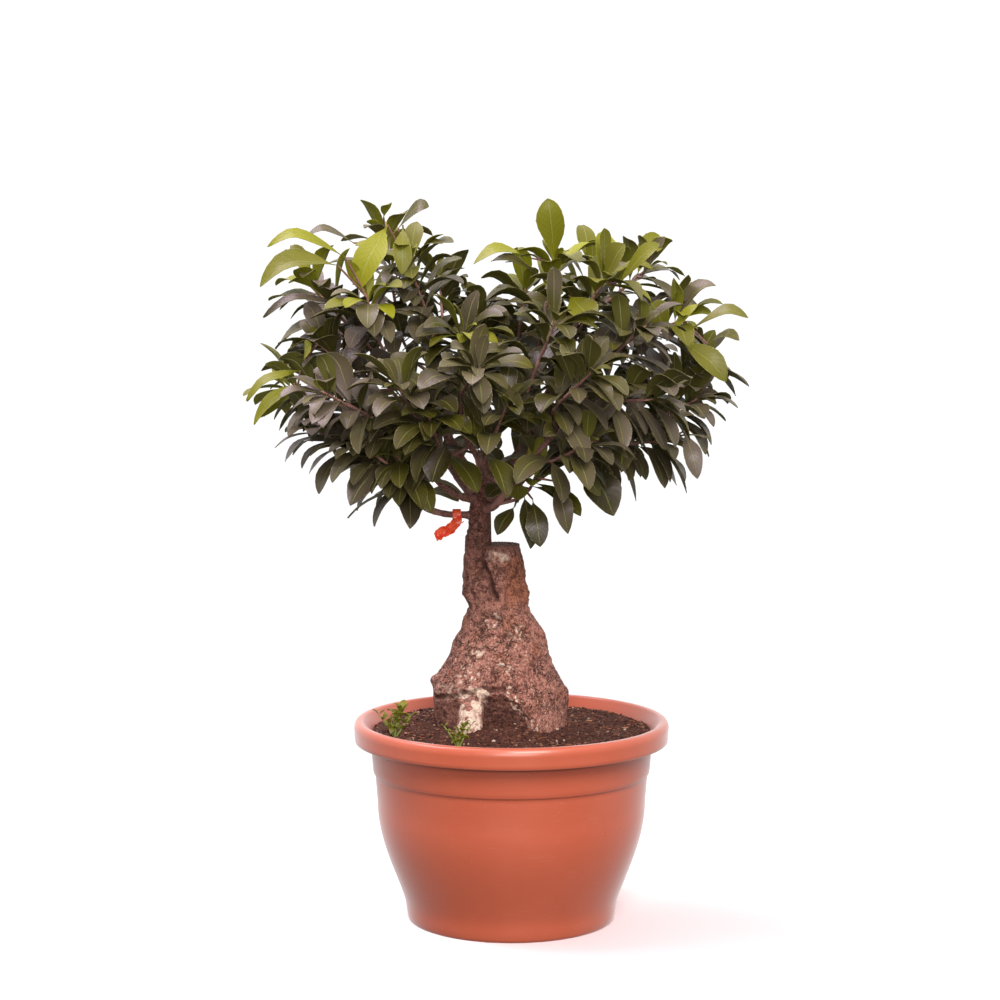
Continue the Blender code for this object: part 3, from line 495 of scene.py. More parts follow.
def remade(node, voxel, passes, lowest):
    """A CAD node's shape as an even, softened skin, cut off level below lowest."""
    bm = merged(node)
    cut = bmesh.ops.bisect_plane(bm, geom=[*bm.verts, *bm.edges, *bm.faces], clear_inner=True,
                                 plane_co=(0, 0, lowest), plane_no=(0, 0, 1))["geom_cut"]
    bmesh.ops.holes_fill(bm, edges=[g for g in cut if isinstance(g, bmesh.types.BMEdge)], sides=0)
    blank = finished("skin_blank", bm)
    remesh = blank.modifiers.new("even_skin", "REMESH")
    remesh.mode, remesh.voxel_size = "VOXEL", voxel
    soften = blank.modifiers.new("soften", "SMOOTH")
    soften.factor, soften.iterations = 0.5, passes
    return settled(blank)


def off_line(x, height, line):
    """How far x, height lies from a line of points, and how far along it, from 0 to 1."""
    best, spot = 1.0, Vector((x, height))
    for k, (a, b) in enumerate(zip(line, line[1:])):
        a, b = Vector(a), Vector(b)
        share = min(1.0, max(0.0, (spot - a).dot(b - a) / (b - a).length_squared))
        reach = (spot - a.lerp(b, share)).length
        if reach < best:
            best, along = reach, (k + share) / (len(line) - 1)
    return best, along


def front_of(normal):
    return smooth_step(-normal.y, 0.05, 0.5)


def bark_relief(place, normal):
    """How far the bark stands out at a point: lumps, ridges, cracks, pits and scars."""
    x, y, height = place.x, place.y, place.z - soil_level
    low = 1 - smooth_step(height, 0.070, 0.095)
    out = 0.0011 * noise.noise(place * 55) + 0.0007 * noise.noise(place * 120)
    ridged = Vector((x * 330, y * 330, height * 120))
    out += 0.00050 * (1 - low) * (1 - 2 * abs(noise.noise(ridged)))
    out -= 0.0010 * (1 - low) * smooth_step(noise.noise(ridged * 0.55 + Vector((7, 1, 3))), 0.30, 0.55)
    out += 0.00042 * noise.noise(place * 420) + 0.00030 * noise.noise(place * 760)
    pits = noise.voronoi(place * 210)[0][0]
    out -= 0.0007 * low * (1 - smooth_step(pits, 0.10, 0.28))
    for middle, lift, spread in knobs:
        out += lift * math.exp(-((place - upright(*middle)).length / spread) ** 2)
    for middle, sink, spread in scars:
        out -= sink * math.exp(-((place - upright(*middle)).length / spread) ** 2)
    out += 0.0012 * smooth_step(height, 0.035, 0.060) * (0.4 - abs(noise.noise(place * 165)))
    around = math.atan2(y, x + 0.009)  # roots spread over the back and the sides
    roots = math.cos(5 * around + 0.8) + 0.6 * math.cos(9 * around - 0.5) - 0.4
    out += 0.0024 * roots * smooth_step(y, -0.008, 0.012) * (1 - smooth_step(height, 0.022, 0.075))
    face = front_of(normal)
    if face > 0 and height < 0.05:
        reach, _ = off_line(x, height + 0.0015 * noise.noise(place * 120), overhang)
        out -= 0.0026 * face * (1 - smooth_step(reach, 0.0003, 0.0024))
    if face > 0 and height > 0.07:
        x += 0.0014 * noise.noise(place * 170)
        reach, along = off_line(x, height, wedge)
        out -= 0.0055 * face * (1 - smooth_step(reach, 0.0004, 0.0048 - 0.0030 * along))
        reach, _ = off_line(x, height, crack)
        out -= 0.0014 * face * (1 - smooth_step(reach, 0.0002, 0.0018))
        lip = ((x + 0.0125) / 0.0085) ** 2 + ((height - 0.0855) / 0.0030) ** 2
        out += 0.0014 * face * math.exp(-lip)
        fold = ((x + 0.0110) / 0.0100) ** 2 + ((height - 0.0805) / 0.0013) ** 2
        out -= 0.0018 * face * math.exp(-fold)
        panel = ((x + 0.0040) / 0.0085) ** 2 + ((height - 0.1080) / 0.0130) ** 2
        out -= 0.0011 * face * math.exp(-panel ** 2)
    return out


def on_sawn_face(place):
    """1 on the stump's sawn top, away from the stem beside it."""
    beside = math.hypot(place.x + 0.0230, place.y + 0.0005)
    return smooth_step(beside, 0.0078, 0.0098) * smooth_step(place.z, stump_top - 0.0022, stump_top - 0.0008)


def bark_marks(place, normal):
    """How pale, how dark and how rusty the bark is at a point; dark also carries painted shade in the wedge, the
    crack, the arch and under the overhang and bulge.
    """
    x, y, height = place.x, place.y, place.z - soil_level
    face, speckle = front_of(normal), noise.noise(place * 300)
    reach, along = off_line(x, height, ((-0.0270, 0.0280), (-0.0285, 0.0120), (-0.0290, -0.010)))
    reach += 0.0045 * noise.noise(place * 130) + 0.0022 * noise.noise(place * 340)
    pale = face * (1 - smooth_step(reach, 0.0075, 0.0105)) * smooth_step(-y, 0.028, 0.036)
    pale *= 0.80 + 0.6 * speckle
    pale *= 1 - 0.75 * smooth_step(noise.noise(place * 190 + Vector((7, 0, 2))), 0.10, 0.32)
    patch = ((x + 0.0085) / 0.0085) ** 2 + ((height - 0.1225) / 0.0048) ** 2
    pale = max(pale, 0.62 * face * math.exp(-patch) * (1 + 1.2 * noise.noise(place * 260)))
    bulge = ((x + 0.0410) / 0.0140) ** 2 + ((height - 0.0300) / 0.0060) ** 2
    pale = max(pale, 0.42 * face * math.exp(-bulge) * (1 + speckle))
    edge, _ = off_line(x, height, ((-0.001, 0.033), (0.0035, 0.020), (0.013, 0.010), (0.020, 0.003)))
    flecks = smooth_step(noise.noise(place * 420 + Vector((3, 0, 9))), 0.05, 0.30)
    pale = max(pale, face * flecks * (1 - smooth_step(edge, 0.0012, 0.0042)) * 0.95)
    for cx, ch, spread in ((-0.0240, 0.0560, 0.007), (0.0040, 0.0700, 0.006), (-0.0130, 0.0790, 0.007),
                           (-0.0050, 0.0480, 0.006), (-0.0290, 0.0400, 0.010)):
        near = ((x - cx) ** 2 + (height - ch) ** 2) / spread ** 2
        pale = max(pale, 0.80 * face * flecks * math.exp(-near))
    stem = math.hypot(x + 0.0225, y + 0.001)
    dark = (1 - smooth_step(stem, 0.0085, 0.0120)) * smooth_step(height, 0.112, 0.135) * 0.70
    dark = max(dark, 0.50 * smooth_step(height, 0.078, 0.100) * smooth_step(-x, 0.008, 0.022))
    dark = max(dark, 0.55 * smooth_step(height, 0.1245, 0.1265))
    if height > 0.07:
        # painted shade: the deep wedge and the crack are darkened down their length
        reach, _ = off_line(x, height, wedge)
        reach += 0.0016 * noise.noise(place * 260)
        dark = max(dark, face * (1 - smooth_step(reach, 0.0010, 0.0046)))
        reach, _ = off_line(x, height, crack)
        dark = max(dark, face * (1 - smooth_step(reach, 0.0006, 0.0022)) * 0.5)
        collar = ((x + 0.0125) / 0.0100) ** 2 + ((height - 0.0840) / 0.0040) ** 2
        dark = max(dark, 0.70 * face * math.exp(-collar))
        smudge = ((x + 0.0080) / 0.0090) ** 2 + ((height - 0.1130) / 0.0040) ** 2
        dark = max(dark, 0.60 * face * math.exp(-smudge))
    under = face * (1 - smooth_step(height, 0.018, 0.027)) * (1 - smooth_step(x, -0.041, -0.036))
    dark = max(dark, under * (0.85 + 0.5 * speckle))  # painted shade under the bulge, with soil splashed up there too
    # painted shade: the inside of the arch under the front is darkened
    arch = smooth_step(y, -0.036, -0.030) * (1 - smooth_step(height, 0.030, 0.036)) * face
    dark = max(dark, arch * smooth_step(x, -0.030, -0.026) * (1 - smooth_step(x, 0.010, 0.018)))
    # painted shade: a dark line along the overhang's lower edge
    if face > 0 and height < 0.05:
        reach, _ = off_line(x, height + 0.0015 * noise.noise(place * 120), overhang)
        dark = max(dark, face * (1 - smooth_step(reach, 0.0006, 0.0030)))
    for middle, sink, spread in scars:
        dark = max(dark, 0.85 * math.exp(-((place - upright(*middle)).length / (spread * 0.8)) ** 2))
    rust = smooth_step(height, 0.082, 0.094) * smooth_step(x, -0.009, 0.001) * (1 - smooth_step(height, 0.118, 0.127))
    rust = max(rust, 0.5 * smooth_step(noise.noise(place * 70), 0.25, 0.55))
    return pale, dark, rust


def trunk_skin():
    bm = remade("trunk", trunk_voxel, 5, soil_level - 0.012)
    bm.normal_update()
    layers = {name: bm.verts.layers.float.new(name) for name in ("pale", "dark", "rust", "sawn")}
    moves = []
    for vert in bm.verts:
        sawn = on_sawn_face(vert.co)
        out = bark_relief(vert.co, vert.normal) * (1 - sawn)
        moves.append(vert.co + vert.normal * out)
        pale, dark, rust = bark_marks(vert.co, vert.normal)
        vert[layers["pale"]], vert[layers["dark"]], vert[layers["rust"]] = pale, dark, rust
        vert[layers["sawn"]] = sawn
    for vert, place in zip(bm.verts, moves):
        vert.co = place
        if vert[layers["sawn"]] > 0.3:
            saw = 0.00012 * math.sin(place.x * 2600) + 0.00012 * noise.noise(place * 900)
            vert.co.z = stump_top + saw
    return bm


def fig_bark():
    """Granular fig bark: pinkish grey-brown, darker in its pits and cracks, warty all over."""
    bark = Finish("bark", Specular_IOR_Level=0.30)
    fine, coarse, patch = bark.cloud(820, 5, 0.72), bark.cloud(210, 5, 0.75), bark.cloud(75, 3)
    grain = fine * 0.55 + coarse * 0.45
    warts = bark.cells(520)
    tone = bark.rise(grain, 0.40, 0.60)
    light = bark.mix(patch, (0.560, 0.250, 0.185, 1), (0.430, 0.180, 0.142, 1))
    colour = bark.mix(tone, (0.100, 0.030, 0.019, 1), light)
    fleck = bark.rise(bark.cloud(760, 4, 0.72), 0.57, 0.66) * bark.rise(bark.cloud(48, 3), 0.34, 0.54)
    colour = bark.mix(fleck * 0.85, colour, (0.78, 0.55, 0.46, 1))
    split = 1 - bark.rise(abs(bark.cloud(95, 5, 0.7) - 0.5), 0.003, 0.028)
    split = split * bark.rise(bark.cloud(33, 2), 0.42, 0.56)
    colour = bark.mix(split * 0.85, colour, (0.040, 0.014, 0.011, 1))
    rusty = bark.mix(tone, (0.090, 0.024, 0.012, 1), (0.42, 0.140, 0.068, 1))
    colour = bark.mix(bark.mark("rust") * 0.75, colour, rusty)
    # the dark mask holds the bark's own dark stem and scars and also painted shade in its hollows
    dark_bark_and_shade = bark.mix(tone, (0.055, 0.018, 0.013, 1), (0.210, 0.088, 0.066, 1))
    colour = bark.mix(bark.mark("dark"), colour, dark_bark_and_shade)
    washed = bark.mix(bark.rise(grain, 0.40, 0.56), (0.40, 0.235, 0.175, 1), (0.82, 0.63, 0.51, 1))
    colour = bark.mix(bark.rise(bark.mark("pale"), 0.15, 0.75), colour, washed)
    rings = bark.node("ShaderNodeTexNoise", {}, {"Vector": bark.stretch((60, 900, 60)), "Scale": 1.0, "Detail": 3.0})
    heart = bark.mix(rings, (0.13, 0.050, 0.036, 1), (0.27, 0.130, 0.095, 1))
    colour = bark.mix(bark.mark("sawn"), colour, heart)
    relief = bark.bump(grain - split * 0.6, 0.0014, 0.9)
    relief = bark.bump(1 - warts, 0.0007, 0.6, relief)
    return bark.feed(Base_Color=colour, Roughness=0.90 - 0.16 * grain, Normal=relief)


bark = fig_bark()
trunk = finished("root_stock", trunk_skin(), bark, sharp=70)
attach(trunk, "root")
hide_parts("trunk")

# --- The branches -----------------------------------------------------------------------
# Twelve limbs of the grafted head.  They rise out of the stem at one fork, swell where
# they join, kink a little at each old bud and carry ring scars of fallen leaves.

branch_names = sorted(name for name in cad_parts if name.startswith("branch_"))


def linked(verts):
    return {other for vert in verts for edge in vert.link_edges for other in edge.verts} - set(verts)


def ring_line(first, count):
    """Follows a lofted tube from its end ring back: the middle and radius of each ring."""
    rings, ring, seen = [], set(first), set(first)
    while len(ring) == count:
        middle = sum((v.co for v in ring), Vector()) / count
        rings.append((middle, sum((v.co - middle).length for v in ring) / count))
        seen |= ring
        ring = linked(ring) - seen
    return rings[::-1]


def curve_through(points, steps):
    """Points along a smooth curve through the given ones, each a place and a radius."""
    padded = [points[0], *points, points[-1]]
    made = []
    for a, b, c, d in zip(padded, padded[1:], padded[2:], padded[3:]):
        for k in range(steps):
            t = k / steps
            weights = (-t + 2 * t**2 - t**3, 2 - 5 * t**2 + 3 * t**3, t + 4 * t**2 - 3 * t**3, t**3 - t**2)
            place = sum((p[0] * w / 2 for p, w in zip((a, b, c, d), weights)), Vector())
            made.append((place, b[1] + (c[1] - b[1]) * t))
    return [*made, points[-1]]


def sweep(bm, line, sides):
    """A closed round tube along line, made by extruding a circle from place to place."""
    ways = [(b[0] - a[0]).normalized() for a, b in zip(line, line[1:])]
    ways = [ways[0], *[(a + b).normalized() for a, b in zip(ways, ways[1:])], ways[-1]]
    made = bmesh.ops.create_circle(bm, cap_ends=False, segments=sides, radius=1)["verts"]
    ring, unit = list(made), [v.co.copy() for v in made]
    edges = list({e for v in ring for e in v.link_edges})
    near_end = edges
    across = ways[0].orthogonal().normalized()
    for k, ((place, radius), way) in enumerate(zip(line, ways)):
        if k:
            made = bmesh.ops.extrude_edge_only(bm, edges=edges)["geom"]
            edges = [g for g in made if isinstance(g, bmesh.types.BMEdge)
                     and g.is_boundary and not any(v in ring for v in g.verts)]
            after = {}
            for vert in ring:
                after[vert] = next(e.other_vert(vert) for e in vert.link_edges if e.other_vert(vert) in made)
            ring = [after[vert] for vert in ring]
        across = (across - way * across.dot(way)).normalized()
        over = way.cross(across)
        for vert, spot in zip(ring, unit):
            vert.co = place + (across * spot.x + over * spot.y) * radius
    bmesh.ops.holes_fill(bm, edges=[*near_end, *edges], sides=0)
    return ring


def limb_line(name):
    """A branch's centre line from its CAD solid, rooted deeper, with joints and old buds."""
    bm = merged(name)
    stem = upright(-0.0200, 0.0, 0.160)
    far = max(bm.verts, key=lambda v: (v.co - stem).length)
    first = sorted(bm.verts, key=lambda v: (v.co - far.co).length)[:6]
    rings = ring_line(first, 6)
    bm.free()
    (root, thick), (second, _) = rings[:2]
    inwards = (root - second).normalized()
    rings = [(root + inwards * 0.0050, thick * 1.5), (root, thick * 1.25), *rings[1:]]
    line = curve_through(rings, 4)
    draw = random.Random(name)
    phase = draw.uniform(0, math.tau)
    finished_line = []
    for k, (place, radius) in enumerate(line):
        wobble = Vector(noise.noise_vector(place * 95)) * 0.0007 * min(1.0, k / 8)
        node = max(0.0, math.cos(k * 1.35 + phase)) ** 4
        finished_line.append((place + wobble, radius * (1.0 + 0.16 * node + 0.10 * noise.noise(place * 260))))
    return finished_line


def branch_mesh():
    bm = bmesh.new()
    for name in branch_names:
        line = limb_line(name)
        sweep(bm, line, 12)
    bmesh.ops.recalc_face_normals(bm, faces=bm.faces)
    return bm


def limb_bark():
    """Smoother young bark: reddish brown, paler and pinker on the lit ridges, ring scarred."""
    young = Finish("limb_bark", Specular_IOR_Level=0.35)
    grain, patch = young.cloud(900, 4, 0.65), young.cloud(60, 2)
    tone = young.rise(grain, 0.32, 0.68)
    colour = young.mix(tone, (0.095, 0.038, 0.028, 1), (0.30, 0.145, 0.115, 1))
    colour = young.mix(young.rise(patch, 0.48, 0.70), colour, (0.42, 0.21, 0.165, 1))
    colour = young.mix((1 - young.rise(young.cells(640), 0.10, 0.22)) * 0.6, colour, (0.52, 0.33, 0.26, 1))
    relief = young.bump(grain, 0.0005, 0.8)
    return young.feed(Base_Color=colour, Roughness=0.80 - 0.18 * grain, Normal=relief)


limb_finish = limb_bark()
limbs = finished("limbs", branch_mesh(), limb_finish, sharp=180)
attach(limbs, "root")
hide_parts(*branch_names)

# --- The leaves -------------------------------------------------------------------------
# Small-leaved fig foliage: leathery blades on short stalks, spiralled round thin twigs.
# Old leaves are dark and waxy with a pale midrib; the youngest, at the shoots' ends and
# along the top, are thin and bright yellow green.  Each shoot ends in a sheathed bud.

blade_thickness = 0.00042
shoot_names = sorted(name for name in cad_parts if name.startswith("shoot_"))
leaf_shape = ((0.0, 0.040), (0.10, 0.045), (0.15, 0.17), (0.24, 0.47), (0.36, 0.77), (0.48, 0.95),
              (0.60, 1.0), (0.71, 0.92), (0.81, 0.70), (0.89, 0.44), (0.95, 0.20), (1.0, 0.02))
young_shoots = {  # shoots in fresh growth, and how young their last leaves are
    "shoot_left_upper": 1.0, "shoot_left_far": 0.85, "shoot_left_top": 0.55, "shoot_left_crest": 0.5,
    "shoot_right_top": 1.0, "shoot_right_top_front": 0.9, "shoot_right_top_outer": 0.75,
    "shoot_right_upper": 0.7, "shoot_right_inner_top": 0.7, "shoot_centre_left": 0.6,
    "shoot_left_edge": 0.7, "shoot_left_lowest": 0.95, "shoot_right_lowest": 0.5,
    "shoot_right_crest_back": 0.5, "shoot_left_low_inner": 0.45,
}
show_leaves = (  # leaves that stand out on the crown: base and tip (across, up), half width, age
    ((0.029, 0.459), (0.024, 0.501), 0.0094, 1.00), ((-0.083, 0.483), (-0.102, 0.440), 0.0105, 0.80),
    ((-0.073, 0.483), (-0.073, 0.450), 0.0063, 0.90), ((-0.089, 0.490), (-0.085, 0.498), 0.0045, 0.90),
    ((-0.076, 0.481), (-0.055, 0.495), 0.0055, 0.00), ((-0.110, 0.461), (-0.160, 0.468), 0.0048, 0.75),
    ((-0.115, 0.456), (-0.165, 0.442), 0.0090, 0.65), ((-0.110, 0.472), (-0.141, 0.477), 0.0040, 0.15),
    ((-0.112, 0.428), (-0.169, 0.421), 0.0040, 0.08), ((0.014, 0.461), (-0.026, 0.457), 0.0050, 0.65),
    ((0.020, 0.448), (-0.014, 0.459), 0.0045, 0.05), ((0.061, 0.447), (0.074, 0.470), 0.0085, 0.85),
    ((0.070, 0.443), (0.097, 0.470), 0.0055, 0.85), ((0.038, 0.436), (0.053, 0.416), 0.0100, 0.85),
    ((0.033, 0.445), (0.029, 0.433), 0.0045, 0.90), ((0.090, 0.448), (0.105, 0.476), 0.0040, 0.15),
    ((0.106, 0.407), (0.094, 0.431), 0.0090, 0.75), ((0.106, 0.407), (0.126, 0.430), 0.0040, 0.80),
    ((0.114, 0.405), (0.145, 0.378), 0.0085, 0.70), ((0.119, 0.411), (0.159, 0.421), 0.0050, 0.55),
    ((0.133, 0.403), (0.153, 0.406), 0.0045, 0.50), ((-0.073, 0.290), (-0.073, 0.318), 0.0085, 0.95),
    ((-0.068, 0.284), (-0.081, 0.299), 0.0065, 0.85), ((0.004, 0.296), (0.004, 0.310), 0.0070, 0.55),
    ((-0.144, 0.385), (-0.179, 0.365), 0.0045, 0.95), ((-0.148, 0.376), (-0.174, 0.349), 0.0050, 0.85),
    ((-0.141, 0.391), (-0.134, 0.404), 0.0055, 0.95), ((-0.047, 0.416), (-0.011, 0.391), 0.0062, 0.42),
    ((-0.007, 0.430), (0.029, 0.421), 0.0085, 0.12), ((0.007, 0.410), (0.043, 0.394), 0.0080, 0.05),
    ((0.033, 0.378), (0.062, 0.367), 0.0080, 0.08), ((-0.018, 0.355), (0.012, 0.343), 0.0080, 0.10),
    ((0.049, 0.322), (0.069, 0.287), 0.0125, 0.03), ((0.014, 0.299), (0.019, 0.268), 0.0080, 0.05),
    ((0.029, 0.313), (0.037, 0.279), 0.0070, 0.05), ((0.002, 0.293), (-0.010, 0.275), 0.0060, 0.10),
    ((0.115, 0.346), (0.123, 0.315), 0.0065, 0.12), ((-0.072, 0.350), (-0.102, 0.334), 0.0050, 0.00),
    ((-0.115, 0.371), (-0.140, 0.362), 0.0100, 0.00), ((-0.068, 0.346), (-0.049, 0.329), 0.0100, 0.05),
    ((-0.043, 0.338), (-0.053, 0.313), 0.0095, 0.08), ((0.014, 0.389), (0.000, 0.364), 0.0075, 0.05),
    ((-0.032, 0.396), (-0.043, 0.371), 0.0070, 0.00), ((0.036, 0.356), (0.047, 0.335), 0.0075, 0.05),
)


def between(table, spot):
    """A value read off a table of places and values."""
    for (a, low), (b, high) in zip(table, table[1:]):
        if spot <= b:
            return low + (high - low) * max(0.0, spot - a) / (b - a)
    return table[-1][1]


def leaf_blank():
    """A flat leaf of unit length: stalk and blade in one strip, two panels wide, thickened."""
    bm = bmesh.new()
    bmesh.ops.create_grid(bm, x_segments=2, y_segments=len(leaf_shape) - 1, size=1)
    for vert in bm.verts:
        row = round((vert.co.y + 1) / 2 * (len(leaf_shape) - 1))
        vert.co.y = leaf_shape[row][0]
    bmesh.ops.solidify(bm, geom=bm.faces[:], thickness=0.04)
    bmesh.ops.recalc_face_normals(bm, faces=bm.faces)
    return blank_of(bm)


def points_one_way(vert):
    """How far a point's edges agree in direction: near 4 at the end of a four sided spike."""
    ways = [edge.other_vert(vert).co - vert.co for edge in vert.link_edges]
    even = len(ways) == 4 and min(w.length for w in ways) > 0.5 * max(w.length for w in ways)
    return sum((w.normalized() for w in ways), Vector()).length if even else 0.0


def widest_pair(verts):
    return max(((a, b) for a in verts for b in verts), key=lambda p: (p[0].co - p[1].co).length)


def flatness(verts):
    spans = [(a.co - b.co).length for a in verts for b in verts if a is not b]
    return max(spans) / max(min(spans), 1e-7)


def middle_of(verts):
    return sum((v.co for v in verts), Vector()) / len(verts)


def read_shoot(name):
    """A CAD shoot taken apart: its twig as places and radii, and each leaf's four places."""
    bm = merged(name)
    ends = [(vert, linked({vert})) for vert in bm.verts if points_one_way(vert) > 2.6]
    leaves, spent = [], set()
    for vert, wide in ends:
        if flatness(wide) < 4:
            continue
        near = linked(wide) - {vert}
        foot = linked(near) - wide
        above = widest_pair(wide)
        up = middle_of(above) - middle_of(wide - set(above))
        side = (above[1].co - above[0].co) / 2
        if side.cross(vert.co - middle_of(wide)).dot(up) < 0:
            side = -side
        leaves.append((middle_of(foot), middle_of(near), middle_of(wide), vert.co.copy(), side))
        spent |= {vert, *wide, *near}
    bud = max((v for v, ring in ends if flatness(ring) < 2.5), key=points_one_way)
    rings, ring, seen = [(bud.co.copy(), 0.0)], linked({bud}), {bud, *spent}
    while ring:
        middle = middle_of(ring)
        rings.append((middle, sum((v.co - middle).length for v in ring) / len(ring)))
        seen |= ring
        ring = linked(ring) - seen
    bm.free()
    return [ring for ring in rings[::-1] if ring[1] < 0.00135], leaves


blade_blank, blade_corners = leaf_blank()


class Blade:
    """One leaf: a midrib curved through four places, its half width, age and tone."""

    def __init__(self, base, middle, wide, tip, side, age, draw):
        reach = (tip - base).length
        lift = draw.uniform(0.02, 0.09) * reach
        places = (base, middle + Vector((0, 0, lift * 0.6)), wide + Vector((0, 0, lift)), tip)
        self.line = [place for place, _ in curve_through([(p, 0.0) for p in places], 6)]
        self.length = sum((b - a).length for a, b in zip(self.line, self.line[1:]))
        self.side, self.half, self.age = side.normalized(), side.length, age
        self.tone, self.fold = draw.random(), draw.uniform(0.12, 0.46)
        self.twist, self.wave = draw.uniform(-0.55, 0.55), draw.uniform(0.3, 1.0) * self.length * 0.035
        self.phase, self.curl = draw.uniform(0, math.tau), draw.uniform(-0.05, 0.10)
        self.lean = draw.uniform(-0.05, 0.05)

    def place(self, corner):
        """Where a point of the blank goes: x across, y along, z through the thickness."""
        spot = corner.y * (len(self.line) - 1)
        k = min(int(spot), len(self.line) - 2)
        way = (self.line[k + 1] - self.line[k]).normalized()
        side = (self.side - way * self.side.dot(way)).normalized()
        up = side.cross(way)
        turn = Matrix.Rotation(self.twist * corner.y**2, 3, way)
        side, up = turn @ side, turn @ up
        half = self.half * between(leaf_shape, corner.y)
        across = corner.x * half * (1 + 0.06 * math.sin(9 * corner.y + self.phase + corner.x))
        rise = abs(corner.x) * half * self.fold - self.curl * half * corner.x**2
        rise += self.wave * abs(corner.x) * math.sin(7.5 * corner.y + self.phase + 1.9 * corner.x) * 0.5
        place = self.line[k].lerp(self.line[k + 1], spot - k) + side * (across + self.lean * half * corner.y)
        return place + up * (rise + math.copysign(blade_thickness / 2, corner.z) * (1 - 0.35 * abs(corner.x)))


def sprung(place, way, out, length, droop, half_share=0.205):
    """The four places and side of a new leaf that leaves place between way and out."""
    heading = (way * 0.62 + out * 0.78).normalized()
    up = (way - heading * way.dot(heading)) * 0.35 + Vector((0, 0, 0.90))
    spots = [place]
    for step, sink in ((0.36, 0.10), (0.34, 0.40), (0.30, 0.75)):
        bent = (heading - Vector((0, 0, sink * droop))).normalized()
        spots.append(spots[-1] + bent * length * step)
    side = heading.cross((up - heading * up.dot(heading)).normalized())
    return (*spots, side.normalized() * length * half_share)


def with_blades(bm, blades, twigs):
    """Fills bm with the blades, each a bent copy of the flat leaf, and then with the twigs."""
    for _ in blades:
        bm.from_mesh(blade_blank)
    layers = {name: bm.verts.layers.float.new(name) for name in ("age", "tone", "under", "across", "along")}
    verts = iter(list(bm.verts))
    for blade in blades:
        for corner in blade_corners:
            vert = next(verts)
            vert.co = blade.place(corner)
            vert[layers["age"]], vert[layers["tone"]] = blade.age, blade.tone
            vert[layers["under"]] = 1.0 if corner.z < 0 else 0.0
            vert[layers["across"]], vert[layers["along"]] = abs(corner.x), corner.y
    bmesh.ops.recalc_face_normals(bm, faces=bm.faces)
    green_faces = len(bm.faces)
    for line in twigs:
        sweep(bm, curve_through(line, 2), 7)
    bm.faces.ensure_lookup_table()
    for face in bm.faces[green_faces:]:
        face.material_index = 1
    bmesh.ops.recalc_face_normals(bm, faces=bm.faces[green_faces:])
    return bm


def in_bare_fork(spot):
    """Whether a place is in front of the limbs' fork, where hardly a leaf grows."""
    return -0.056 < spot.x < 0.032 and spot.z < 0.340 and spot.y < 0.030


def show_leaf(base, tip, half, age, draw):
    """A leaf at the crown's face, with the short twig that joins it to the nearest shoot."""
    near = min((ring[0] for rings in shoot_rings.values() for ring in rings), key=lambda place:
               (place.x - base[0]) ** 2 + (place.z - base[1]) ** 2 + 0.15 * (place.y + 0.035) ** 2)
    foot = Vector((base[0], near.y - 0.012, base[1]))
    end = Vector((tip[0], near.y - 0.026, tip[1]))
    way = (end - foot).normalized()
    arch = Vector((0, -0.10, 0.16 * (1 - abs(way.z)))) * (end - foot).length
    up = Vector((draw.uniform(-0.2, 0.2), -1.0, 0.55 + 0.9 * (1 - abs(way.z))))
    side = way.cross(up).normalized() * half
    blade = Blade(foot, foot.lerp(end, 0.36) + arch * 0.8, foot.lerp(end, 0.68) + arch, end, side, age, draw)
    return blade, [(near, 0.0009), (near.lerp(foot, 0.5), 0.0008), (foot, 0.0006)]


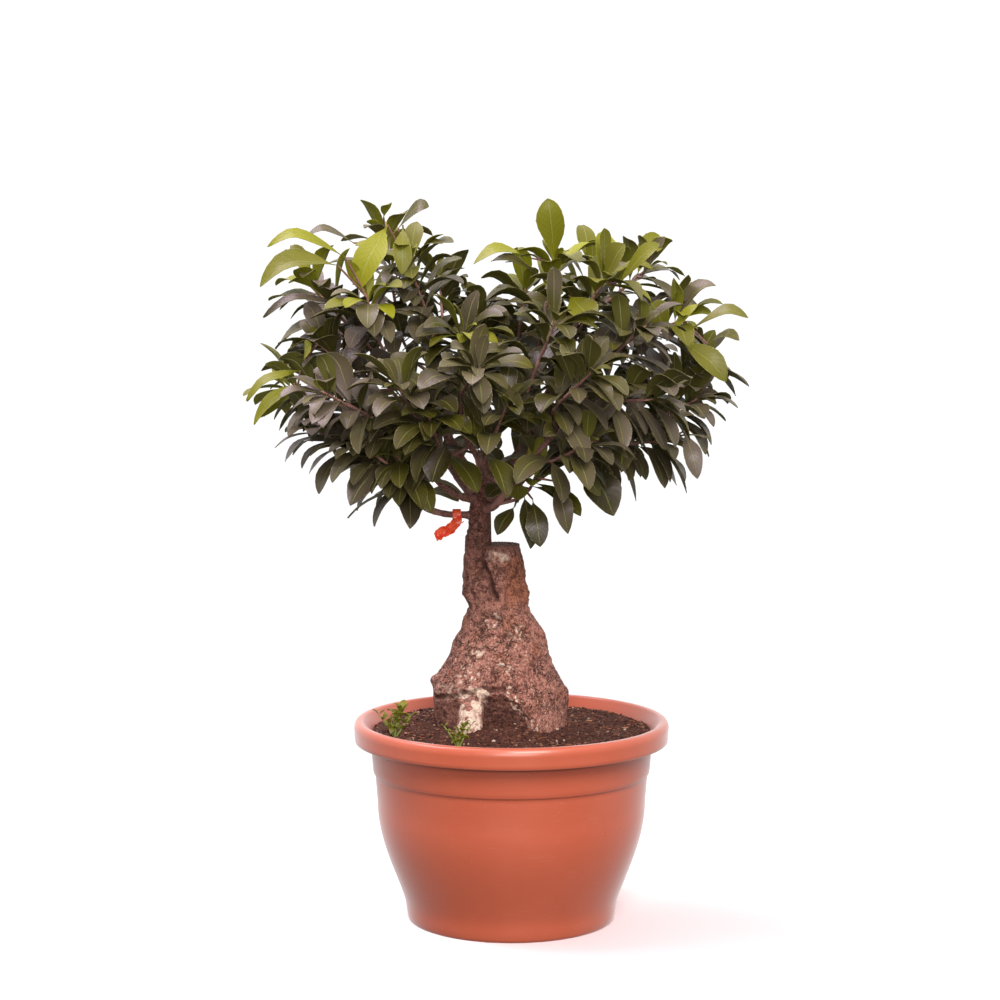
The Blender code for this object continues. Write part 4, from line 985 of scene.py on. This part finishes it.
def foliage(branch, shoots, shown):
    """All that one branch carries: twigs, buds, the leaves of its CAD shoots, and new ones."""
    bm, blades, twigs = bmesh.new(), [], []
    for leaf in shown:
        blade, twig = show_leaf(*leaf, random.Random(str(leaf)))
        blades.append(blade)
        twigs.append(twig)
    for name in shoots:
        draw = random.Random(name + "_leaves")
        rings, leaves = read_shoot(name)
        youth = young_shoots.get(name, 0.0)
        (root, thick), (second, _) = rings[:2]
        inwards = (root - second).normalized()
        twigs.append([(root + inwards * 0.0030, thick * 1.1), *rings[:-1], (rings[-1][0], 0.00012)])
        end, way = rings[-2][0], (rings[-1][0] - rings[-3][0]).normalized()
        whole = (end - root).length
        for base, middle, wide, tip, side in leaves:
            along = min(1.0, max(0.0, (base - root).length / whole))
            age = min(1.0, youth * smooth_step(along, 0.50, 0.95) + draw.uniform(0.0, 0.09))
            level = (tip - base).cross(Vector((0, 0, 1))).normalized() * side.length
            side = side.lerp(math.copysign(1, level.dot(side)) * level, draw.uniform(0.15, 0.60))
            blades.append(Blade(base, middle, wide, tip, side * draw.uniform(0.76, 0.94), age, draw))
        across = way.orthogonal().normalized()
        turn = draw.uniform(0, math.tau)
        for k in range(5):
            angle = turn + k * 2.4
            out = across * math.cos(angle) + way.cross(across) * math.sin(angle)
            length = (0.034, 0.031, 0.026, 0.020, 0.014)[k] * draw.uniform(0.85, 1.2)
            spots = sprung(end - way * 0.0014 * (4 - k), way * (0.7 + 0.35 * k), out, length, 0.6)
            if spots[3].z < cad_high.z and not in_bare_fork(spots[3]):
                blades.append(Blade(*spots, min(1.0, 0.10 + 0.06 * k + 0.75 * youth), draw))
        for k in range(3, len(rings) - 3):  # leaves in the gaps between the CAD ones
            place, way = rings[k][0], (rings[k + 1][0] - rings[k - 1][0]).normalized()
            across = way.orthogonal().normalized()
            angle = turn + k * 2.05
            out = across * math.cos(angle) + way.cross(across) * math.sin(angle)
            spots = sprung(place, way, out, 0.036 * draw.uniform(0.72, 1.15), 0.9)
            inside = cad_low.x < spots[3].x < cad_high.x and spots[3].z > soil_level + 0.060
            if inside and not in_bare_fork(spots[3]):
                blades.append(Blade(*spots, 0.55 * youth * smooth_step(k / len(rings), 0.4, 1.0), draw))
    draw = random.Random(branch + "_old_wood")
    line = limb_line(branch)
    for k in range(len(line) // 2, len(line) - 2, 2):  # dull leaves on the branch itself
        (place, _), (after, _) = line[k], line[k + 2]
        out = Matrix.Rotation(k * 2.4, 3, after - place) @ (after - place).orthogonal().normalized()
        spots = sprung(place, (after - place).normalized(), out, draw.uniform(0.026, 0.038), 0.8)
        if not in_bare_fork(spots[3]) and spots[3].z > soil_level + 0.185:
            blades.append(Blade(*spots, 0.0, draw))
    return with_blades(bm, blades, twigs)


def waxy_leaf():
    """Leathery leaf: dark waxy upper side with pale ribs, matt paler underside, fresh when young."""
    leaf = Finish("leaf_green", Specular_IOR_Level=0.30, Coat_Roughness=0.25,
                  Specular_Tint=(0.95, 0.82, 1.0, 1))
    age, tone, under = leaf.mark("age"), leaf.mark("tone"), leaf.mark("under")
    across, along = leaf.mark("across"), leaf.mark("along")
    mottle = leaf.cloud(260, 3)
    old = leaf.mix(tone, (0.027, 0.0245, 0.0026, 1), (0.074, 0.070, 0.0058, 1))
    old = leaf.mix(leaf.rise(mottle, 0.35, 0.75) * 0.45, old, (0.070, 0.044, 0.012, 1))
    aside = leaf.node("ShaderNodeSeparateXYZ", {}, {"Vector": leaf.place()}, "X")
    outer = leaf.rise(abs(aside), 0.05, 0.11)  # painted sheen, lighter and greyer on the crown's flanks
    # painted sheen: purple-grey patches on the old leaves stand in for the gloss reflecting the bright room
    painted_sheen = leaf.rise(leaf.cloud(15, 2), 0.44, 0.62)
    old = leaf.mix(painted_sheen * 0.45 + outer * 0.38, old, (0.132, 0.096, 0.082, 1))
    # young leaves are a paler yellow green; part of their brightness is painted light shining through the thin blades
    young = leaf.mix(tone, (0.105, 0.100, 0.0008, 1), (0.215, 0.215, 0.0010, 1))
    colour = leaf.mix(leaf.rise(age, 0.10, 0.85), old, young)
    veins = leaf.maths("FRACT", along * 11 - across * 2.2)
    veins = 1 - leaf.rise(abs(veins - 0.5), 0.02, 0.11)
    rib = 1 - leaf.rise(across, 0.025, 0.075)
    # painted highlight: a pale dotted line along each leaf's edge
    painted_edge_glint = leaf.rise(across, 0.93, 0.985)
    colour = leaf.mix(veins * 0.13, colour, (0.10, 0.10, 0.020, 1))
    colour = leaf.mix(rib * 0.50, colour, (0.26, 0.27, 0.06, 1))
    ticks = leaf.rise(leaf.cloud(900, 1), 0.45, 0.60)
    colour = leaf.mix(painted_edge_glint * ticks * 0.60, colour, (0.46, 0.40, 0.18, 1))
    pale = leaf.mix(rib * 0.5, leaf.mix(age, (0.085, 0.078, 0.014, 1), (0.24, 0.25, 0.004, 1)), (0.36, 0.36, 0.18, 1))
    colour = leaf.mix(under, colour, pale)
    height = veins * 0.45 + rib * 1.0
    relief = leaf.bump(height, 0.00035, 0.7)
    relief = leaf.bump(mottle, 0.0005, 0.35, relief)
    return leaf.feed(Base_Color=colour, Roughness=0.34 + 0.14 * mottle + 0.22 * under + 0.22 * age,
                     Coat_Weight=0.12 - 0.12 * under, Normal=relief)


leaf_finish = waxy_leaf()
shoot_rings = {name: read_shoot(name)[0] for name in shoot_names}
branch_of_shoot = {shoot: min(branch_names, key=lambda name: min(
    (v.co - rings[0][0]).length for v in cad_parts[name].data.vertices))
    for shoot, rings in shoot_rings.items()}


def shoot_under(leaf):
    """The shoot whose twig a shown leaf grows from."""
    start = show_leaf(*leaf, random.Random(0))[1][0][0]
    return next(name for name, rings in shoot_rings.items() if any(ring[0] == start for ring in rings))


for branch in branch_names:
    carried = [shoot for shoot in shoot_names if branch_of_shoot[shoot] == branch]
    if not carried:
        continue
    leaves = finished(branch.replace("branch", "leaves"), foliage(
        branch, carried, [leaf for leaf in show_leaves if shoot_under(leaf) in carried]),
                      leaf_finish, limb_finish, sharp=60)
    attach(leaves, "root")
    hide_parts(*carried)

# --- The tape ---------------------------------------------------------------------------
# A strip of thin orange-red plastic tape, a nursery's mark, wound once and a quarter round
# the lowest left branch.  Its free end hangs crumpled, with one torn thread below it.

tape_half, tape_thick = 0.0036, 0.00025
tail_folds = ((-0.0375, -0.0090, 0.1470), (-0.0405, -0.0105, 0.1432), (-0.0440, -0.0115, 0.1402),
              (-0.0480, -0.0128, 0.1392), (-0.0510, -0.0142, 0.1368), (-0.0528, -0.0150, 0.1362))


def tape_line():
    """The tape's places and its outward directions: round the branch, then out to the tail."""
    line = limb_line("branch_left_low")
    tied = min(range(2, len(line) - 2), key=lambda k: (line[k][0] - upright(*tail_folds[0])).length)
    middle, radius = line[tied]
    axis = (line[tied + 1][0] - line[tied - 1][0]).normalized()
    start = axis.cross(Vector((0, -1, 0))).normalized()
    over = axis.cross(start)
    spots = []
    for k in range(41):
        angle = -math.tau * 1.25 * k / 40
        out = start * math.cos(angle) + over * math.sin(angle)
        spots.append((middle + out * (radius * 1.10 + 0.0004 + 0.0009 * k / 40), out, axis))
    return spots


def crumpled_tape():
    """The strip of tape, thickened, its edges creased and its free end folded on itself."""
    spots = tape_line()
    draw = random.Random("tape")
    tail = curve_through([(spots[-1][0], 0.0), *[(upright(*fold), 0.0) for fold in tail_folds]], 5)[1:]
    for k, ((place, _), (after, _)) in enumerate(zip(tail, tail[1:])):
        way = (after - place).normalized()
        face = (Vector((0.25, -1.0, 0.35)) - way * way.dot(Vector((0.25, -1.0, 0.35)))).normalized()
        face = Matrix.Rotation(0.45 * math.sin(k * 0.55), 3, way) @ face
        spots.append((place, face, way.cross(face).normalized()))
    bm = bmesh.new()
    bmesh.ops.create_grid(bm, x_segments=4, y_segments=len(spots) - 1, size=1)
    for vert in bm.verts:
        row = round((vert.co.y + 1) / 2 * (len(spots) - 1))
        place, out, side = spots[row]
        share = max(0.0, (row - 41) / (len(spots) - 42))
        half = tape_half * (0.80 + 0.45 * min(1.0, share * 2)) * (1 - 0.25 * share)
        crease = 0.0011 * min(1.0, share * 3) * noise.noise(Vector((vert.co.x * 2.2, row * 0.62, 3.1)))
        ragged = 1 + 0.22 * share * noise.noise(Vector((vert.co.x * 3, row * 0.8, 9.7)))
        vert.co = place + side * half * vert.co.x * ragged + out * crease
    bmesh.ops.solidify(bm, geom=bm.faces[:], thickness=tape_thick)
    thread = [upright(-0.0330, -0.0085, 0.1462)]
    for k in range(9):
        step = Vector((-0.0022, -0.0006, -0.0010 - 0.0005 * math.sin(k * 1.3)))
        thread.append(thread[-1] + step + Vector((0, 0, 0.0006 * draw.uniform(-1, 1))))
    sweep(bm, [(place, 0.00032) for place in thread], 6)
    bmesh.ops.recalc_face_normals(bm, faces=bm.faces)
    return bm


def stretched_film():
    """Bright orange-red film, glossy on its creases."""
    film = Finish("orange_tape", Specular_IOR_Level=0.6, Coat_Weight=0.3, Coat_Roughness=0.18)
    crumple = film.cloud(420, 3)
    colour = film.mix(film.rise(crumple, 0.35, 0.70), (0.86, 0.040, 0.010, 1), (1.0, 0.130, 0.030, 1))
    relief = film.bump(crumple, 0.0008, 0.5)
    return film.feed(Base_Color=colour, Roughness=0.34 + 0.2 * crumple, Normal=relief)


tape = finished("tape", crumpled_tape(), stretched_film(), sharp=60)
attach(tape, "root")
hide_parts("tie_tape")

# --- The seedlings ----------------------------------------------------------------------
# Two self-sown weeds in the potting soil: thin green stems with a few small fresh leaves,
# one tall by the left of the rim and one low at the front.

weed_names = sorted(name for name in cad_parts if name.startswith("seedling_"))


def weeds():
    """Both weeds: the leaves of their CAD shapes and small new ones between and over them."""
    bm, blades, stems = bmesh.new(), [], []
    for name in weed_names:
        draw = random.Random(name)
        rings, leaves = read_shoot(name)
        foot = rings[0][0].copy()
        foot.z = ground(foot.x, foot.y) - 0.0012
        stems.append([(foot, rings[0][1]), *rings])
        size = max((tip - base).length for base, _, _, tip, _ in leaves)
        for base, middle, wide, tip, side in leaves:
            blades.append(Blade(base, middle, wide, tip, side * 1.05, draw.uniform(0.70, 1.00), draw))
        tall = rings[-1][0].z - foot.z
        for turn in (2.9, 0.5, 4.4):  # side shoots that lean out from the foot
            lean = Vector((math.cos(turn), 0.5 * math.sin(turn), 0.0)) * tall * 0.55
            top = foot + lean + Vector((0, 0, tall * draw.uniform(0.65, 0.95)))
            stems.append([(foot, 0.0006), (foot.lerp(top, 0.5) + Vector((0, 0, 0.0012)), 0.0005), (top, 0.0004)])
            rings = [*rings, *[(foot.lerp(top, share), 0.0) for share in (0.45, 0.75, 1.0)]]
        for k, (place, _) in enumerate(rings[1:]):
            for turn in (k * 2.1, k * 2.1 + math.pi):
                out = Vector((math.cos(turn), math.sin(turn), 0.30))
                spots = sprung(place, Vector((0, 0, 1)), out, size * draw.uniform(0.42, 0.70), 0.5, 0.27)
                blades.append(Blade(*spots, draw.uniform(0.65, 1.0), draw))
    return with_blades(bm, blades, stems)


weed_stem = Finish("weed_stem", Base_Color=(0.20, 0.25, 0.05, 1), Roughness=0.5).material
seedlings = finished("weeds", weeds(), leaf_finish, weed_stem, sharp=60)
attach(seedlings, "root")
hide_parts(*weed_names)

# --- Where it stands --------------------------------------------------------------------
# A plain white studio sweep with a pink shade painted on it beside the pot, lit by a broad soft box above and in
# front and by the white room round it; the camera is at the pot rim's height and a little up.

studio = bpy.data.worlds.new("white_room")
studio.use_nodes = True
room = studio.node_tree
room.nodes["Background"].inputs["Color"].default_value = (1.0, 1.0, 1.0, 1)
where_to = room.nodes.new("ShaderNodeTexCoord")
facing = room.nodes.new("ShaderNodeVectorMath")
facing.operation, facing.inputs[1].default_value = "DOT_PRODUCT", (0, 0.75, 0.66)
overhead = room.nodes.new("ShaderNodeMapRange")  # brightest behind and above, dark low in front
overhead.inputs["From Min"].default_value, overhead.inputs["From Max"].default_value = -0.6, 0.9
overhead.inputs["To Min"].default_value, overhead.inputs["To Max"].default_value = 0.18, 1.25
rays = room.nodes.new("ShaderNodeLightPath")
dimmer = room.nodes.new("ShaderNodeMapRange")  # but plain white where the camera sees it
dimmer.inputs["To Max"].default_value = 1.06
room.links.new(where_to.outputs["Generated"], facing.inputs[0])
room.links.new(facing.outputs["Value"], overhead.inputs["Value"])
room.links.new(overhead.outputs["Result"], dimmer.inputs["To Min"])
room.links.new(rays.outputs["Is Camera Ray"], dimmer.inputs["Value"])
room.links.new(dimmer.outputs["Result"], room.nodes["Background"].inputs["Strength"])
bpy.context.scene.world = studio


def sweep_floor():
    bm = bmesh.new()
    bmesh.ops.create_circle(bm, cap_ends=True, segments=96, radius=1.4)
    return bm


def white_paper():
    paper = Finish("white_paper", Roughness=1.0, Specular_IOR_Level=0.0, Emission_Strength=0.08,
                   Emission_Color=(1, 1, 1, 1))
    reach = paper.node("ShaderNodeVectorMath", {"operation": "LENGTH"}, {0: paper.place()}, "Value")
    aside = paper.node("ShaderNodeVectorMath", {"operation": "DISTANCE"}, {
        0: paper.place(), 1: (0.12, -0.08, 0)}, "Value")
    # painted shade: a pink, darker patch on the paper to the right of and in front of the pot
    paper_with_painted_shade = paper.mix(paper.rise(aside, 0.06, 0.26), (0.82, 0.65, 0.67, 1), (1, 1, 1, 1))
    return paper.feed(Base_Color=paper_with_painted_shade, Alpha=1 - paper.rise(reach, 0.20, 0.62))


floor = finished("floor", sweep_floor(), white_paper())
floor.visible_diffuse = floor.visible_glossy = False  # the paper throws no light up at the pot


def soft_box(name, place, target, across, down, watts, colour):
    light = bpy.data.lights.new(name, "AREA")
    light.shape, light.size, light.size_y = "RECTANGLE", across, down
    light.energy, light.color = watts, colour
    box = bpy.data.objects.new(name, light)
    box.location = place
    box.rotation_euler = (Vector(target) - Vector(place)).to_track_quat("-Z", "Y").to_euler()
    bpy.context.scene.collection.objects.link(box)


soft_box("key_box", (0.40, -1.60, 1.50), (0, 0, 0.20), 0.9, 0.9, 38, (1.0, 0.975, 0.94))
soft_box("front_box", (0.10, -2.40, 0.65), (0, 0, 0.20), 1.2, 1.0, 27, (1.0, 0.97, 0.95))
soft_box("top_box", (-0.60, 0.05, 1.55), (0, 0, 0.3), 0.9, 0.9, 26, (0.95, 0.86, 1.0))

lens = bpy.data.cameras.new("camera")
lens.lens, lens.sensor_width, lens.clip_start = 85.9, 36, 0.01
camera = bpy.data.objects.new("camera", lens)
camera.location = (-0.008, -1.65, 0.448)
camera.rotation_euler = (math.pi / 2 - 0.0929, 0, 0)
bpy.context.scene.collection.objects.link(camera)
bpy.context.scene.camera = camera
bpy.context.scene.view_settings.view_transform = "Standard"
